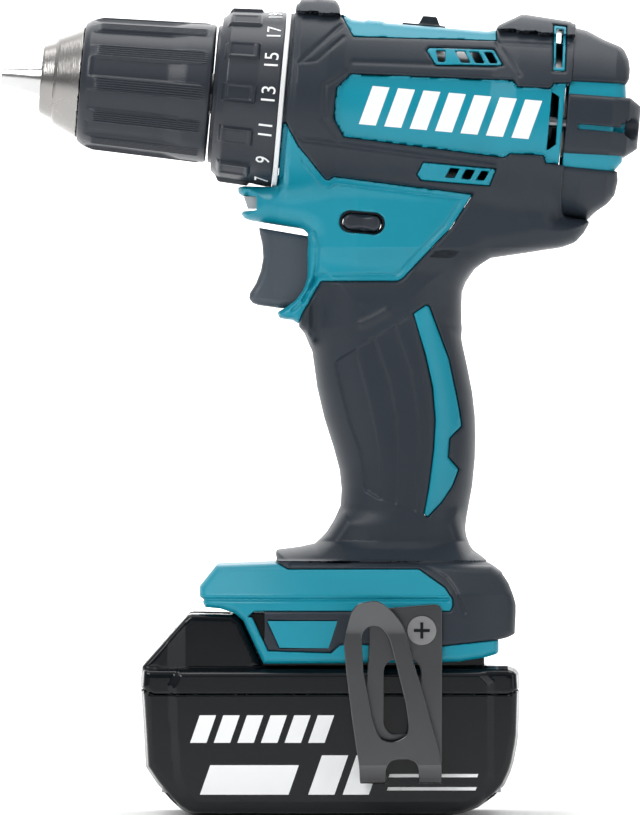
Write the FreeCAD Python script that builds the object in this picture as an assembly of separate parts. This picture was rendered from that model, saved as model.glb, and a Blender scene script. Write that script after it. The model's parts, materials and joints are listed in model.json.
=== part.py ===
"""Cordless drill driver: every separate piece as its own solid, in millimetres.

Frame: origin at the centre of the battery's bottom face, on the plane where the two housing
halves meet. +Z is up, +X points to the rear of the motor, -X along the drill bit, and +Y is the
tool's right side. The barrel axis is nose-up by TILT, so barrel pieces are drawn along a level
axis U (rearwards, like X) and put in place by on_axis().
"""
import math
import os

import FreeCAD
import Part

V = FreeCAD.Vector

# ---------------------------------------------------------------- driving dimensions
TILT = 5.1                 # barrel axis above level, degrees
AXIS_Z = 218.35            # height of the barrel axis over the origin

FIT = 0.05                 # radial clearance of shafts in bearings
GAP = 0.3                  # clearance between pieces that move past each other
SKIN = 1.6                 # thickness of the soft overmould
WALL = 3.0                 # thickness of the hard housing

BARREL_R = 30.4            # motor housing
COLLAR_R = 31.6            # raised rims at the front and rear of the motor housing
BARREL_FRONT = -12.3       # U of the housing's front face
SEAM_U = 72.0              # U where the rear cover meets the housing
TOP_FLAT = 26.6            # height of the flat speed selector deck over the axis

NECK_HALF = 18.0           # half width of the housing under the barrel
FOOT_HALF = 37.0           # half width of the foot
BATTERY_HALF = 36.6        # half width of the battery
FOOT_BOTTOM = 46.8
CASE_SEAM_Z = 37.7         # where the battery's two case halves meet
CASE_WALL = 2.2

MODULE = 1.0               # gear tooth size
SUN_TEETH = 15
PLANET_TEETH = 9
RING_TEETH = 33
PRESSURE_ANGLE = math.radians(25)
BACKLASH = 0.12
PLANETS = 3
ORBIT_R = MODULE * (SUN_TEETH + PLANET_TEETH) / 2
RING_GEAR_R = 20.0
GEAR_CASE_R = 23.2
PIN_R = 1.5
CARRIER_R = 15.2

SHAFT_R = 2.5              # motor shaft
SPINDLE_R = 6.0
CAN_R = 21.0               # motor can
FAN_R = 18.5
BEARING_R = 5.0            # outside of the motor bearings

JAW_ANGLE = 14.0           # jaw travel direction against the chuck axis, degrees
JAW_R = 3.4
JAW_TIP_U = -101.8
JAW_BACK_U = -63.5
JAW_TIP_R = 3.05           # outer radius of the closed jaws at their tip
GRIP_R = 0.75              # smallest bit that the closed jaws hold
SLEEVE_BORE_R = 19.2

TRIGGER_HALF = 8.5         # half width of the trigger


# ---------------------------------------------------------------- drawing helpers
def box(x0, x1, y0, y1, z0, z1):
    return Part.makeBox(x1 - x0, y1 - y0, z1 - z0, V(x0, y0, z0))


def rod_x(x0, x1, r, y=0.0, z=0.0):
    return Part.makeCylinder(r, x1 - x0, V(x0, y, z), V(1, 0, 0))


def rod_y(y0, y1, r, x, z):
    return Part.makeCylinder(r, y1 - y0, V(x, y0, z), V(0, 1, 0))


def rod_z(z0, z1, r, x, y):
    return Part.makeCylinder(r, z1 - z0, V(x, y, z0), V(0, 0, 1))


def rod_between(start, end, r):
    return Part.makeCylinder(r, (end - start).Length, start, end - start)


def tube_x(x0, x1, outer, inner):
    return rod_x(x0, x1, outer).cut(rod_x(x0 - 1, x1 + 1, inner))


def turned(profile):
    """A solid of revolution about the U axis from its (u, radius) outline."""
    points = [V(u, 0, r) for u, r in profile]
    face = Part.Face(Part.makePolygon(points + points[:1]))
    return face.revolve(V(0, 0, 0), V(1, 0, 0), 360)


def outline(steps):
    """A closed wire in the XZ plane. A step is a point (x, z) or an arc ((mid), (end))."""
    edges = []
    first = V(steps[0][0], 0, steps[0][1])
    at = first
    for step in steps[1:]:
        if isinstance(step[0], tuple):
            mid = V(step[0][0], 0, step[0][1])
            end = V(step[1][0], 0, step[1][1])
            edges.append(Part.Arc(at, mid, end).toShape())
        else:
            end = V(step[0], 0, step[1])
            edges.append(Part.makeLine(at, end))
        at = end
    if at.distanceToPoint(first) > 1e-6:
        edges.append(Part.makeLine(at, first))
    return Part.Wire(edges)


def plate(steps, y0, y1):
    """An outline in the side plane, extruded across the tool."""
    shape = Part.Face(outline(steps)).extrude(V(0, y1 - y0, 0))
    shape.translate(V(0, y0, 0))
    return shape


def mirror_pair(steps, y0, y1):
    """The same plate on both sides of the tool, from |y| = y0 to y1."""
    return [plate(steps, y0, y1), plate(steps, -y1, -y0)]


def join(shapes):
    result = shapes[0].multiFuse(shapes[1:]) if len(shapes) > 1 else shapes[0]
    return result.removeSplitter()


def on_axis(shape):
    placed = shape.copy()
    placed.Placement = FreeCAD.Placement(
        V(0, 0, AXIS_Z), FreeCAD.Rotation(V(0, 1, 0), TILT)
    ).multiply(placed.Placement)
    return placed


def around(shape, angle):
    """A copy turned about the U axis."""
    copy = shape.copy()
    copy.rotate(V(0, 0, 0), V(1, 0, 0), angle)
    return copy


def spring(radius, wire_r, pitch, height):
    """A closed coil spring along +Z from the origin."""
    helix = Part.makeHelix(pitch, height, radius)
    profile = Part.Wire(Part.Circle(V(radius, 0, 0), V(0, 1, 0), wire_r).toShape())
    return Part.Wire(helix).makePipeShell([profile], True, True)


def save(name, shape):
    solids = shape.Solids
    result = solids[0] if len(solids) == 1 else Part.makeCompound(solids)
    if not solids or not result.isValid():
        raise ValueError(f"{name} is not a valid solid")
    result.exportStep(f"parts/{name}.step")
    b = result.BoundBox
    print(f"{name:24s} {len(solids):2d} solids {result.Volume / 1000:8.2f} cm3",
          f"x {b.XMin:.1f}..{b.XMax:.1f} y {b.YMin:.1f}..{b.YMax:.1f}",
          f"z {b.ZMin:.1f}..{b.ZMax:.1f}")


# ---------------------------------------------------------------- gears
def involute_angle(base_r, radius):
    """Angle of the involute at a radius, measured from its start on the base circle."""
    t = math.sqrt(max((radius / base_r) ** 2 - 1, 0))
    return t - math.atan(t)


def tooth_outline(teeth, addendum, dedendum, thickness):
    """Polygon of an external gear in the YZ plane. Flanks are involutes, one tooth points to +Y."""
    pitch_r = MODULE * teeth / 2
    base_r = pitch_r * math.cos(PRESSURE_ANGLE)
    tip_r = pitch_r + addendum
    root_r = pitch_r - dedendum
    half = thickness / (2 * pitch_r)
    start = half + (math.tan(PRESSURE_ANGLE) - PRESSURE_ANGLE)
    flank_from = max(root_r, base_r)
    radii = [flank_from + (tip_r - flank_from) * k / 3 for k in range(4)]
    flank = [(r, start - involute_angle(base_r, r)) for r in radii]
    if root_r < base_r:
        flank.insert(0, (root_r, start))
    points = []
    for tooth in range(teeth):
        centre = 2 * math.pi * tooth / teeth
        for r, a in flank:
            points.append((r, centre - a))
        for r, a in reversed(flank):
            points.append((r, centre + a))
    return [V(0, r * math.cos(a), r * math.sin(a)) for r, a in points]


def toothed_bar(u0, u1, teeth, addendum, dedendum, thickness):
    points = tooth_outline(teeth, addendum, dedendum, thickness)
    bar = Part.Face(Part.makePolygon(points + points[:1])).extrude(V(u1 - u0, 0, 0))
    bar.translate(V(u0, 0, 0))
    return bar


def spur_gear(u0, u1, teeth):
    return toothed_bar(u0, u1, teeth, 0.8, 1.0, math.pi * MODULE / 2 - BACKLASH)


def ring_gear(u0, u1):
    thickness = math.pi * MODULE / 2 + BACKLASH
    space = toothed_bar(u0 - 1, u1 + 1, RING_TEETH, 1.0, 0.65, thickness)
    return rod_x(u0, u1, RING_GEAR_R).cut(space)


def planet(u0, u1, index):
    """A planet gear whose tooth space faces the sun, moved out to its place on the orbit."""
    gear = spur_gear(u0, u1, PLANET_TEETH).cut(rod_x(u0 - 1, u1 + 1, PIN_R + FIT))
    gear.translate(V(0, ORBIT_R, 0))
    return around(gear, 360 / PLANETS * index)


def carrier(disc_u0, disc_u1, pin_end):
    """Carrier disc with its three planet pins, which point to the rear."""
    shapes = [rod_x(disc_u0, disc_u1, CARRIER_R)]
    for index in range(PLANETS):
        pin = rod_x(disc_u1 - 0.5, pin_end, PIN_R, ORBIT_R, 0)
        shapes.append(around(pin, 360 / PLANETS * index))
    return join(shapes)


# U spans of the three planetary stages, from the motor forwards
STAGE_1 = (6.4, 12.8)
STAGE_2 = (-4.6, 1.8)
STAGE_3 = (-15.6, -9.2)
DISC = 2.2                 # thickness of a carrier disc
DISC_GAP = 0.5             # from a carrier disc to its planets
RING_LEAD = 0.4            # how far a ring gear stands past its planets


def write_gear_train():
    spans = {1: STAGE_1, 2: STAGE_2, 3: STAGE_3}
    for stage, (u0, u1) in spans.items():
        for index in range(PLANETS):
            save(f"planet_{stage}_{index + 1}", on_axis(planet(u0, u1, index)))
    for stage in (1, 2):
        u0, u1 = spans[stage]
        next_u0 = spans[stage + 1][0]
        disc_front = u0 - DISC_GAP - DISC
        sun = spur_gear(next_u0, disc_front + 0.2, SUN_TEETH)
        body = join([carrier(disc_front, u0 - DISC_GAP, u1), sun])
        save(f"carrier_{stage}", on_axis(body))
    u0, u1 = STAGE_3
    save("carrier_3", on_axis(carrier(u0 - DISC_GAP - DISC, u0 - DISC_GAP, u1)))
    rings = [ring_gear(u0 - RING_LEAD, u1 + 0.2) for u0, u1 in (STAGE_1, STAGE_2, STAGE_3)]
    save("fixed_ring_gears", on_axis(Part.makeCompound([rings[0], rings[2]])))
    save("shifting_ring_gear", on_axis(rings[1]))


# ---------------------------------------------------------------- gear case, clutch, spindle
SNOUT_R = 15.0
SNOUT_BORE = 11.0
CASE_FRONT = -20.6
CASE_WALL_U = -18.9
SNOUT_FRONT = -34.2
NUT_U = -31.6
CLUTCH_PINS = 6


def write_gear_case():
    case = turned([
        (16.0, RING_GEAR_R + 0.02), (16.0, GEAR_CASE_R), (-14.0, GEAR_CASE_R),
        (-14.0, 21.0), (CASE_FRONT, 21.0), (CASE_FRONT, SNOUT_R),
        (SNOUT_FRONT, SNOUT_R), (SNOUT_FRONT, SNOUT_BORE),
        (CASE_FRONT, SNOUT_BORE), (CASE_WALL_U, SNOUT_BORE),
        (CASE_WALL_U, 15.8), (CASE_WALL_U + 2.6, 15.8),
        (CASE_WALL_U + 2.6, RING_GEAR_R + 0.02),
    ])
    pins = [around(rod_x(CASE_FRONT - 0.6, CASE_WALL_U + 2.8, 1.4, 18.0, 0), 60 * k)
            for k in range(CLUTCH_PINS)]
    rear_plate = tube_x(14.2, 16.0, RING_GEAR_R, 9.4)
    case = case.cut(Part.makeCompound(pins))
    save("gear_case", on_axis(Part.makeCompound([case, rear_plate])))
    washer = tube_x(-22.0, CASE_FRONT - 0.6, 20.6, SNOUT_R + GAP)
    save("clutch_pins", on_axis(Part.makeCompound(pins + [washer])))
    bearings = [tube_x(-33.8, -27.8, SNOUT_BORE, SPINDLE_R + FIT),
                tube_x(-26.4, -20.4, SNOUT_BORE, SPINDLE_R + FIT),
                tube_x(23.0, 24.6, BEARING_R, SHAFT_R + FIT),
                tube_x(66.5, 70.5, BEARING_R, SHAFT_R + FIT)]
    save("ball_bearings", on_axis(Part.makeCompound(bearings)))
    nut = tube_x(NUT_U, NUT_U + 3.0, 20.8, SNOUT_R + GAP)
    save("clutch_nut", on_axis(nut))
    coil = spring(17.9, 0.9, 2.9, -22.95 - (NUT_U + 3.0) - 1.9)
    coil.rotate(V(0, 0, 0), V(0, 1, 0), 90)
    coil.translate(V(NUT_U + 3.95, 0, 0))
    save("clutch_spring", on_axis(coil))


RING_FRONT = -35.2
RING_REAR = -16.0
RING_BORE = 21.35
RING_CLEARANCE_R = 28.0    # what the turning ring needs in the lip under it


def write_torque_ring():
    ring = turned([
        (-36.4, 17.2), (-36.4, 21.2), (RING_FRONT, 21.2), (RING_FRONT, 23.6),
        (-32.4, 26.1), (RING_REAR, 27.3), (RING_REAR, RING_BORE), (-34.8, RING_BORE),
        (-34.8, 17.2),
    ])
    pads = []
    for k in range(12):
        pad = box(-32.2, -23.0, -2.6, 2.6, 24.5, 27.6)
        pads.append(around(pad, 30 * k))
    pads = [p.common(turned([(-32.4, 0), (-32.4, 26.7), (-23, 27.4), (-23, 0)])) for p in pads]
    save("torque_ring", on_axis(join([ring] + pads)))
    save("torque_ring_band", on_axis(tube_x(RING_REAR, -14.3, 27.6, RING_BORE)))


def write_spindle():
    spindle = join([rod_x(-56.0, -34.0, 6.2), rod_x(-34.0, -19.2, SPINDLE_R),
                    rod_x(-19.6, -18.4, 9.0)])
    spindle = spindle.cut(rod_x(-60, -44, 2.6))
    save("spindle", on_axis(spindle))


# ---------------------------------------------------------------- keyless chuck
def jaw_bar(radius, front_u, back_u):
    """Bar along one jaw's line of travel, in the UZ plane, between two U positions."""
    slope = math.tan(math.radians(JAW_ANGLE))
    tip_line = JAW_TIP_R - JAW_R / math.cos(math.radians(JAW_ANGLE))
    start = V(front_u, 0, tip_line + (front_u - JAW_TIP_U) * slope)
    end = V(back_u, 0, tip_line + (back_u - JAW_TIP_U) * slope)
    return rod_between(start, end, radius)


def write_chuck():
    wedge = Part.Face(Part.makePolygon([
        V(-110, 0, 0), V(-110, 40, 40 / math.sqrt(3)), V(-110, 0, 60),
        V(-110, -40, 40 / math.sqrt(3)), V(-110, 0, 0)])).extrude(V(80, 0, 0))
    wedge.translate(V(0, 0, 0.18))
    jaw = jaw_bar(JAW_R, JAW_TIP_U - 4, JAW_BACK_U)
    jaw = jaw.common(wedge)
    jaw = jaw.cut(rod_x(-112, -60, GRIP_R))
    jaw = jaw.cut(box(-120, JAW_TIP_U, -30, 30, -30, 30))
    for k in range(3):
        save(f"jaw_{k + 1}", on_axis(around(jaw, 120 * k)))

    body = turned([
        (-85.2, 0), (-85.2, 12.9), (-84.6, 13.5), (-77.4, 17.2), (-77.4, 16.6),
        (-38.4, 16.6), (-38.4, 0),
    ])
    body = body.cut(tube_x(-70.6, -61.4, 40, 13.0))
    body = body.cut(rod_x(-100, -57, 6.8))
    body = body.cut(rod_x(-57.5, -30, 6.2))
    for k in range(3):
        body = body.cut(around(jaw_bar(JAW_R + 0.09, -104, -34), 120 * k))

    nose = turned([(-89.5, 8.4), (-89.5, 10.6), (-85.2, 12.3), (-85.2, 8.4)])
    for k in range(3):
        nose = nose.cut(around(jaw_bar(JAW_R + 0.09, -104, -34), 120 * k))
    save("chuck_body", on_axis(Part.makeCompound([body, nose])))

    sleeve = turned([
        (-77.1, 17.1), (-77.1, 17.9), (-75.6, 19.2), (-73.2, 20.0), (-37.6, 21.2),
        (-37.1, 20.7), (-37.1, 17.0), (-39.3, 17.0), (-39.3, SLEEVE_BORE_R),
        (-74.6, SLEEVE_BORE_R), (-74.6, 17.1),
    ])
    flutes = []
    for k in range(12):
        flute = rod_between(V(-76.0, 0, 28.3), V(-47.0, 0, 29.3), 8.6)
        flutes.append(around(flute, 30 * k + 15))
    save("chuck_sleeve", on_axis(sleeve.cut(Part.makeCompound(flutes))))
    save("chuck_nut", on_axis(tube_x(-70.2, -61.8, SLEEVE_BORE_R, 13.35)))
    screw = join([rod_x(-59.4, -56.2, 5.0), rod_x(-56.4, -45.0, 2.6)])
    screw = screw.cut(rod_x(-60, -57.6, 1.8))
    save("chuck_screw", on_axis(screw))


# ---------------------------------------------------------------- motor
def write_motor():
    can = turned([
        (23.0, BEARING_R), (23.0, CAN_R), (66.0, CAN_R), (66.0, CAN_R - 1.6),
        (24.6, CAN_R - 1.6), (24.6, BEARING_R),
    ])
    save("motor_can", on_axis(can))
    magnet = tube_x(28, 60, CAN_R - 1.6, 15.6)
    magnet = magnet.cut(box(20, 70, -5, 5, -30, 30))
    save("motor_magnets", on_axis(magnet))
    bell = turned([
        (62.0, 7.6), (62.0, CAN_R - 1.6), (68.0, CAN_R - 1.6), (68.0, 9.5), (70.5, 9.5),
        (70.5, BEARING_R), (66.5, BEARING_R), (66.5, 7.6),
    ])
    slots = [box(61, 65.0, -2.6, 2.6, 5.0, 16.0), box(61, 65.0, -2.6, 2.6, -16.0, -5.0)]
    brushes = [box(62.2, 64.8, -2.5, 2.5, 6.3, 14.0), box(62.2, 64.8, -2.5, 2.5, -14.0, -6.3)]
    bell = bell.cut(Part.makeCompound(slots))
    save("brush_holder", on_axis(Part.makeCompound([bell] + brushes)))
    pinion = spur_gear(STAGE_1[0], STAGE_1[1] + 1, SUN_TEETH)
    save("motor_shaft", on_axis(join([pinion, rod_x(STAGE_1[0], 71.5, SHAFT_R)])))
    core = rod_x(32, 55, 15.0).cut(rod_x(30, 60, SHAFT_R))
    for k in range(5):
        slot = join([box(31, 56, -1.2, 1.2, 10.0, 16.0), rod_x(31, 56, 3.2, 0, 9.0)])
        core = core.cut(around(slot, 72 * k))
    save("armature_core", on_axis(core))
    coils = []
    for k in range(5):
        ring = tube_x(27.5, 59.0, 11.9, 7.0)
        sector = rod_x(27.5, 59.0, 2.9, 0, 9.0)
        coils.append(around(sector.common(ring), 72 * k))
    commutator = tube_x(60.2, 66.2, 6.0, SHAFT_R)
    save("armature_windings", on_axis(Part.makeCompound(coils + [commutator])))
    blades = [tube_x(17.0, 18.2, FAN_R, SHAFT_R), tube_x(18.0, 22.0, 6.0, SHAFT_R)]
    for k in range(11):
        blades.append(around(box(18.0, 22.0, -0.6, 0.6, 5.5, FAN_R), 360 / 11 * k))
    save("cooling_fan", on_axis(join(blades)))


# ---------------------------------------------------------------- housing
HANDLE_SECTIONS = (
    # height, front, back, half width
    (166.0, -5.0, 41.0, 17.0),
    (150.0, -8.0, 38.3, 16.8),
    (136.0, -4.2, 41.6, 17.0),
    (121.0, -1.0, 43.5, 17.0),
    (106.0, 3.4, 43.2, 16.6),
    (94.0, 3.6, 41.4, 16.4),
    (84.0, -1.5, 40.6, 18.0),
    (74.0, -8.0, 44.0, 21.0),
)

NECK_OUTLINE = (
    (-5.0, 160.0), (-6.4, 171.0), (-6.4, 177.0), (-9.5, 180.1), (-14.6, 180.9), (-27.2, 183.4),
    (-27.8, 185.5), (-27.2, 190.1), (-28.6, 192.4), (-27.6, 194.3), (-16.4, 194.1),
    (-12.4, 212.0), (66.0, 206.0), (68.6, 182.6), (77.5, 181.4), (75.0, 176.6), (71.0, 175.2),
    (49.0, 171.9), ((42.0, 167.5), (38.5, 160.0)),
)

GUARD_OUTLINE = (
    (-2.0, 172.0), (-6.4, 172.0), ((-7.6, 162.9), (-13.8, 155.9)), (-16.6, 154.2),
    (-13.8, 152.1), (-9.5, 150.4), (-5.4, 145.6), (-2.0, 150.0),
)

FOOT_OUTLINE = (
    (-40.2, 70.4), (-35.1, 76.8), (-15.9, 77.3), (26.8, 76.8), (50.0, 75.8), (53.9, 71.3),
    ((56.4, 64.0), (55.8, 56.1)), (51.2, 54.0), (51.2, 50.4), (46.9, 48.7), (33.6, 47.3),
    (0.0, FOOT_BOTTOM), (-20.6, FOOT_BOTTOM), (-26.8, 59.9), (-29.3, 62.1), (-38.4, 64.0),
)

FLANGE_OUTLINE = ((-16.3, 80.4), (-4.6, 82.4), (20.0, 90.0), (44.0, 79.4), (50.0, 75.8),
                  (26.8, 76.0), (-13.2, 76.0))

# the regions of the side view that are covered by the soft overmould
COLLAR_REGION = ((-13.0, 252.0), (2.5, 252.0), (6.9, 238.4), (50.8, 237.3), (52.0, 226.0),
                 (6.0, 227.2), (0.0, 223.0), (0.5, 213.0), (4.0, 207.5), (52.0, 201.0),
                 (54.0, 190.0), (-3.0, 195.0), (-13.0, 214.0))
REAR_REGION = ((50.8, 252.0), (80.0, 252.0), (80.0, 232.0), (66.0, 226.0), (51.0, 228.0))
GRIP_REGION = ((-3.0, 163.7), (20.3, 163.7), (36.7, 180.0), (43.4, 190.3), (52.0, 200.0),
               (78.0, 199.0), (80.0, 170.0), (50.0, 140.0), (60.0, 76.8), (-20.0, 76.8),
               (-20.0, 84.0), (-3.0, 100.0), (-12.0, 150.0))


def handle(shrink):
    sections = []
    for z, front, back, half in HANDLE_SECTIONS:
        middle = V((front + back) / 2, 0, z)
        across = (back - front) / 2 - shrink
        ellipse = Part.Ellipse(middle, across, half - shrink)
        sections.append(Part.Wire(ellipse.toShape()))
    return Part.makeLoft(sections, True, False)


def flange():
    """Where the handle spreads into the foot."""
    return plate(FLANGE_OUTLINE, -19.0, 19.0)


def barrel(shrink):
    body = turned([
        (BARREL_FRONT, 0), (BARREL_FRONT, 26.2), (-10.0, 26.4), (-10.0, COLLAR_R - shrink),
        (2.5, COLLAR_R - shrink), (4.0, BARREL_R - shrink), (50.0, BARREL_R - shrink),
        (52.0, COLLAR_R - shrink), (SEAM_U, COLLAR_R - shrink), (SEAM_U, 0),
    ])
    deck = box(4.0, 50.5, -40, 40, TOP_FLAT, 60)
    return on_axis(body.cut(deck))


SCREWS = (
    # x, z, y of the head's seat: housing screws, driven in from the right
    (-1.0, 245.4, 9.0), (63.0, 239.6, 10.0), (-3.0, 190.5, 13.0), (64.0, 180.6, 12.0),
    (35.0, 163.0, 9.5), (22.5, 93.0, 11.0), (-29.0, 70.0, 26.0), (50.6, 62.5, 26.0),
)
SCREW_R = 1.9
SCREW_HEAD_R = 3.0


def screw_across(x, z, seat):
    shank = rod_y(-9.0, seat + 0.2, SCREW_R, x, z)
    head = rod_y(seat, seat + 2.4, SCREW_HEAD_R, x, z)
    cross = [box(x - 1.9, x + 1.9, seat + 1.2, seat + 3, z - 0.4, z + 0.4),
             box(x - 0.4, x + 0.4, seat + 1.2, seat + 3, z - 1.9, z + 1.9)]
    return join([shank, head]).cut(Part.makeCompound(cross))


def screw_well(x, z, seat):
    """The clearance that a housing screw needs: its hole and the well over its head."""
    return join([rod_y(-9.0, seat, SCREW_R, x, z), rod_y(seat, 40.0, SCREW_HEAD_R + 0.2, x, z)])


REAR_SCREW_Y = 24.6
CLIP_SCREW = (27.6, 57.1)
CLIP_HOLE_R = 1.65
CLIP_HOLE_END = 29.0       # |y| of the blind end of the clip's screw holes
BUTTON = (9.5, 181.7)
LENS_HALF = 5.0
LENS_OUTLINE = ((-26.9, 189.9), (-25.6, 186.1), (-20.4, 186.1), (-20.4, 189.9))
VENT_SLOTS = ((32.0, 230.0), (38.0, 230.0), (43.0, 230.0), (48.0, 230.0),
              (34.5, 194.8), (40.0, 194.4), (45.0, 194.0))
SLOT_WIDTH = 3.2
SLOT_HEIGHT = 3.6
WINDOW_OUTLINE = ((67.4, 221.4), (69.6, 219.9), (68.6, 205.4), (65.8, 203.3))
BADGE_OUTLINE = ((-19.4, 59.9), (1.9, 59.9), (-0.8, 51.6), (-15.7, 51.8))
BLADE_ROWS = (-10.0, 0.0, 10.0)   # Y of the battery's contact blades


def inner_space():
    """Everything that is hollow inside the closed housing."""
    barrel_space = turned([
        (BARREL_FRONT - 3, 0), (BARREL_FRONT - 3, GEAR_CASE_R), (16.0, GEAR_CASE_R),
        (16.0, 25.6), (SEAM_U + 2, 25.6), (SEAM_U + 2, 0),
    ])
    spaces = [
        on_axis(barrel_space),
        handle(WALL + SKIN),
        plate(((2.0, 150.0), (2.0, 186.0), (20.0, 200.0), (60.0, 196.0), (60.0, 178.0),
               (46.0, 175.5), (36.0, 166.0), (33.0, 150.0)), -13.5, 13.5),
        box(-34.0, 49.0, -32.0, 32.0, 64.6, 73.5),
        box(33.0, 46.0, -15.0, 15.0, 62.0, 65.0),
        box(-24.8, -18.0, -LENS_HALF, LENS_HALF, 185.9, 190.0),
    ]
    return spaces


def battery_way():
    """The space under the foot that the battery's rails slide in, open to the front."""
    tongue = box(-60.0, 47.6, -28.4, 28.4, 40.0, 62.7)
    ledges = [box(-18.0, 48.0, 24.6, 28.4, 50.0, 53.0), box(-18.0, 48.0, -28.4, -24.6, 50.0, 53.0)]
    return tongue.cut(Part.makeCompound(ledges))


def write_housing():
    ring_way = on_axis(rod_x(-50.0, -14.1, RING_CLEARANCE_R))
    outer = join([barrel(0), plate(NECK_OUTLINE, -NECK_HALF, NECK_HALF).cut(ring_way),
                  plate(GUARD_OUTLINE, -14.0, 14.0), handle(0), flange(),
                  plate(FOOT_OUTLINE, -FOOT_HALF, FOOT_HALF)])
    core = join([barrel(SKIN), plate(NECK_OUTLINE, -NECK_HALF + SKIN, NECK_HALF - SKIN),
                 plate(GUARD_OUTLINE, -14.0, 14.0), handle(SKIN),
                 plate(FOOT_OUTLINE, -FOOT_HALF, FOOT_HALF)])
    regions = join([plate(r, -60, 60) for r in (COLLAR_REGION, REAR_REGION, GRIP_REGION)])
    skin = outer.cut(core).common(regions)
    hard = outer.cut(skin)

    bosses = [rod_y(-12.5, seat + 1.0, 4.2, x, z).common(outer) for x, z, seat in SCREWS]
    rear_bosses = [on_axis(rod_x(60.0, SEAM_U, 3.6, y, 0)) for y in (REAR_SCREW_Y, -REAR_SCREW_Y)]
    spaces = join(inner_space()).cut(Part.makeCompound(bosses + rear_bosses))

    trigger_way = box(-30.0, 9.0, -TRIGGER_HALF - 0.35, TRIGGER_HALF + 0.35, 155.3, 181.4)
    trigger_way = trigger_way.common(plate((
        (-30.0, 182.4), (9.0, 178.0), (9.0, 154.6), (-30.0, 154.6)), -20, 20))
    button_way = rod_y(-20, 20, 3.0, *BUTTON)
    button_way = join([button_way, box(BUTTON[0] - 4.2, BUTTON[0] + 4.2, -20, 20,
                                       BUTTON[1] - 3.0, BUTTON[1] + 3.0),
                       rod_y(-20, 20, 3.0, BUTTON[0] - 4.2, BUTTON[1]),
                       rod_y(-20, 20, 3.0, BUTTON[0] + 4.2, BUTTON[1])])
    selector_way = on_axis(box(19.5, 41.5, -9.3, 9.3, 20.0, 28.0))
    lens_way = plate(LENS_OUTLINE, -LENS_HALF, LENS_HALF)
    vents = []
    for x0, z0 in VENT_SLOTS:
        slot = ((x0, z0), (x0 + SLOT_WIDTH, z0), (x0 + SLOT_WIDTH, z0 + SLOT_HEIGHT),
                (x0, z0 + SLOT_HEIGHT))
        vents += mirror_pair(slot, 10, 40)
    windows = mirror_pair(WINDOW_OUTLINE, 10, 40)
    holes = [screw_well(*s) for s in SCREWS]
    holes += [on_axis(rod_x(61.0, SEAM_U + 1, 1.6, y, 0)) for y in (REAR_SCREW_Y, -REAR_SCREW_Y)]
    holes += [rod_y(CLIP_HOLE_END, 40.0, CLIP_HOLE_R, *CLIP_SCREW),
              rod_y(-40.0, -CLIP_HOLE_END, CLIP_HOLE_R, *CLIP_SCREW)]
    badge_pocket = mirror_pair(BADGE_OUTLINE, FOOT_HALF - 1.2, FOOT_HALF + 1)
    cutters = [spaces, trigger_way, button_way, selector_way, lens_way, battery_way()]
    cutters += vents + windows + holes + badge_pocket
    hard = hard.cut(Part.makeCompound(cutters[:1]))
    for cutter in cutters[1:]:
        hard = hard.cut(cutter)
        skin = skin.cut(cutter)
    left = box(-200, 200, -100, 0, -10, 400)
    right = box(-200, 200, 0, 100, -10, 400)
    save("housing_left", hard.common(left))
    save("housing_right", hard.common(right))
    save("overmould_left", skin.common(left))
    save("overmould_right", skin.common(right))
    screws = [screw_across(*s) for s in SCREWS]
    for y in (REAR_SCREW_Y, -REAR_SCREW_Y):
        screws.append(on_axis(join([rod_x(62.0, 82.2, 1.6, y, 0), rod_x(82.0, 84.2, 3.0, y, 0)])))
    save("housing_screws", Part.makeCompound(screws + [clip_screw()]))


def write_fittings():
    """Pieces that sit in the housing: switch, lamp, terminals, leads, badges."""
    lens = plate(LENS_OUTLINE, -LENS_HALF + 0.05, LENS_HALF - 0.05)
    board = box(-20.2, -18.6, -4.5, 4.5, 186.1, 189.8)
    save("led_lamp", Part.makeCompound([lens, board]))
    switch = box(9.2, 30.0, -10.5, 10.5, 152.0, 175.0)
    switch = switch.cut(rod_x(0, 18, 3.2, 0, 168.0))
    heat_sink = box(12.0, 25.0, -8.5, 8.5, 149.5, 152.0)
    save("switch_body", Part.makeCompound([switch, heat_sink]))
    block = box(33.0, 46.0, -15.0, 15.0, 62.7, 72.0)
    blades = [box(30.0, 46.0, y - 0.5, y + 0.5, 55.5, 62.7) for y in BLADE_ROWS]
    save("terminal_block", Part.makeCompound([block] + blades))
    leads = [rod_between(V(33.9, y, 74.6), V(20.0, y, 149.2), 1.3) for y in (-3.5, 3.5)]
    leads += [rod_between(V(24.0, y, 176.1), V(52.0, y, 191.0), 1.2) for y in (-4.0, 4.0)]
    save("wiring", Part.makeCompound(leads))
    save("badges", Part.makeCompound(mirror_pair(BADGE_OUTLINE, FOOT_HALF - 1.2, FOOT_HALF - 0.2)))


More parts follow.
